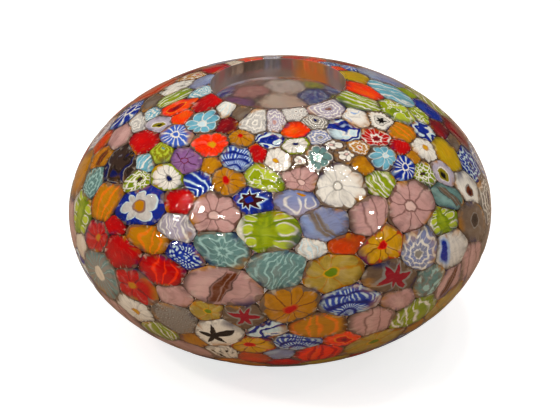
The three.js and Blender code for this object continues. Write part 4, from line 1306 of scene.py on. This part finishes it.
CAMERA_DISTANCE = 0.5
CAMERA_ELEVATION = math.radians(26.42)
CAMERA_LENS = 89.95
CAMERA_ROLL = math.radians(-1.0)
CAMERA_DIP = 0.0045
CLIP_START = 0.01
FLOOR_SIZE = 6.0
FLOOR_DROP = 0.2 * MM
FLOOR_GLOW = 0.69  # to the eye the floor is lit from within, so that shadows on it stay faint
FLOOR_WHITE = (0.6, 0.6, 0.6, 1.0)
FLOOR_FILL = (0.56, 0.45, 0.34, 1.0)  # the floor as it lights the bowl's underside
FLOOR_IN_GLOSS = (0.32, 0.22, 0.15, 1.0)  # and as the glass mirrors it
WORLD_LOW, WORLD_HIGH = 0.35, 0.73  # the surroundings' light from the horizon and from overhead
WORLD_IN_GLOSS = 0.05  # the studio's walls are dim where the glass mirrors them
LAMPS = [  # direction, size across and power of each small lamp
    ((-0.56, -0.30, 0.77), 0.085, 1.4),
    ((-0.70, -0.22, 0.68), 0.035, 0.4),
    ((-0.42, -0.44, 0.79), 0.03, 0.3),
    ((-0.50, -0.12, 0.86), 0.03, 0.3),
    ((0.19, 0.14, 0.97), 0.085, 1.3),
    ((0.02, -0.06, 1.0), 0.035, 0.4),
    ((0.38, 0.05, 0.92), 0.035, 0.4),
    ((0.62, -0.30, 0.72), 0.03, 0.3),
    ((-0.80, -0.38, 0.46), 0.03, 0.25),
    ((0.74, -0.50, 0.45), 0.03, 0.3),
    ((-0.16, -0.30, 0.94), 0.02, 0.2),
]
LAMP_DISTANCE = 0.9
LAMP_COLOUR = (1.0, 0.97, 0.92)
GLOW_POWER, GLOW_SIZE = 0.085, 0.02


def aim(direction):
    """The rotation that looks along a direction with its top up."""
    return Vector(direction).to_track_quat("-Z", "Y")


def add_lamp(name, direction, size, power):
    light = bpy.data.lights.new(name, "AREA")
    light.shape = "DISK"
    light.size = size
    light.energy = power
    light.color = LAMP_COLOUR
    lamp = add_object(name, light)
    out = Vector(direction).normalized()
    lamp.location = CENTRE + out * LAMP_DISTANCE
    lamp.rotation_mode = "QUATERNION"
    lamp.rotation_quaternion = aim(-out)


def add_glow_inside():
    """Stands for the light that comes into the bowl through its slices."""
    glow = bpy.data.lights.new("glow_inside", "POINT")
    glow.energy = GLOW_POWER
    glow.shadow_soft_size = GLOW_SIZE
    inside = add_object("glow_inside", glow)
    inside.location = CENTRE
    inside.visible_glossy = False
    inside.visible_transmission = False


def add_camera():
    camera = add_object("camera", bpy.data.cameras.new("camera"))
    camera.data.lens = CAMERA_LENS
    camera.data.clip_start = CLIP_START
    back = Vector((0, -math.cos(CAMERA_ELEVATION), math.sin(CAMERA_ELEVATION)))
    look = aim(-back).to_matrix().to_4x4()
    tilt = Matrix.Rotation(CAMERA_ROLL, 4, "Z") @ Matrix.Rotation(-CAMERA_DIP, 4, "X")
    camera.matrix_world = Matrix.Translation(CENTRE + back * CAMERA_DISTANCE) @ look @ tilt
    bpy.context.scene.camera = camera


def light_surroundings():
    """White surroundings, brighter overhead, plain white to the camera and dim in reflections."""
    world = bpy.data.worlds.new("world")
    world.use_nodes = True
    tree = world.node_tree
    background = tree.nodes["Background"]
    path = add_node(tree, "LightPath")
    height = coordinates(tree, add_node(tree, "TexCoord").outputs["Generated"])[2]
    strength = height.most(0.0) * (WORLD_HIGH - WORLD_LOW) + WORLD_LOW
    for ray, level in (("Is Glossy Ray", WORLD_IN_GLOSS), ("Is Camera Ray", 1.0)):
        share = Sum(tree, path.outputs[ray])
        strength = strength * (1 - share) + share * level
    plug(tree, background.inputs["Color"], (1.0, 1.0, 1.0, 1.0))
    plug(tree, background.inputs["Strength"], strength)
    bpy.context.scene.world = world


def lay_floor():
    half = FLOOR_SIZE / 2
    corners = [(x * half, y * half, -FLOOR_DROP) for x, y in ((-1, -1), (1, -1), (1, 1), (-1, 1))]
    floor = build_mesh("floor", corners, [(0, 1, 2, 3)])
    paper = empty_material("floor")
    tree = paper.node_tree
    fill, mirrored, white = (
        add_node(tree, "BsdfDiffuse", Color=colour) for colour in (FLOOR_FILL, FLOOR_IN_GLOSS, FLOOR_WHITE))
    glow = add_node(tree, "Emission", Strength=FLOOR_GLOW)
    both = add_node(tree, "AddShader", (white.outputs[0], glow.outputs[0]))
    shown = by_ray(tree, fill.outputs[0], (("Is Glossy Ray", mirrored), ("Is Camera Ray", both)))
    add_node(tree, "OutputMaterial", Surface=shown)
    floor.data.materials.append(paper)


def build_studio():
    add_camera()
    light_surroundings()
    for number, (direction, size, power) in enumerate(LAMPS, start=1):
        add_lamp(f"lamp_{number}", direction, size, power)
    add_glow_inside()
    lay_floor()
    bpy.context.scene.view_settings.view_transform = "Standard"


build_bowl()
build_studio()
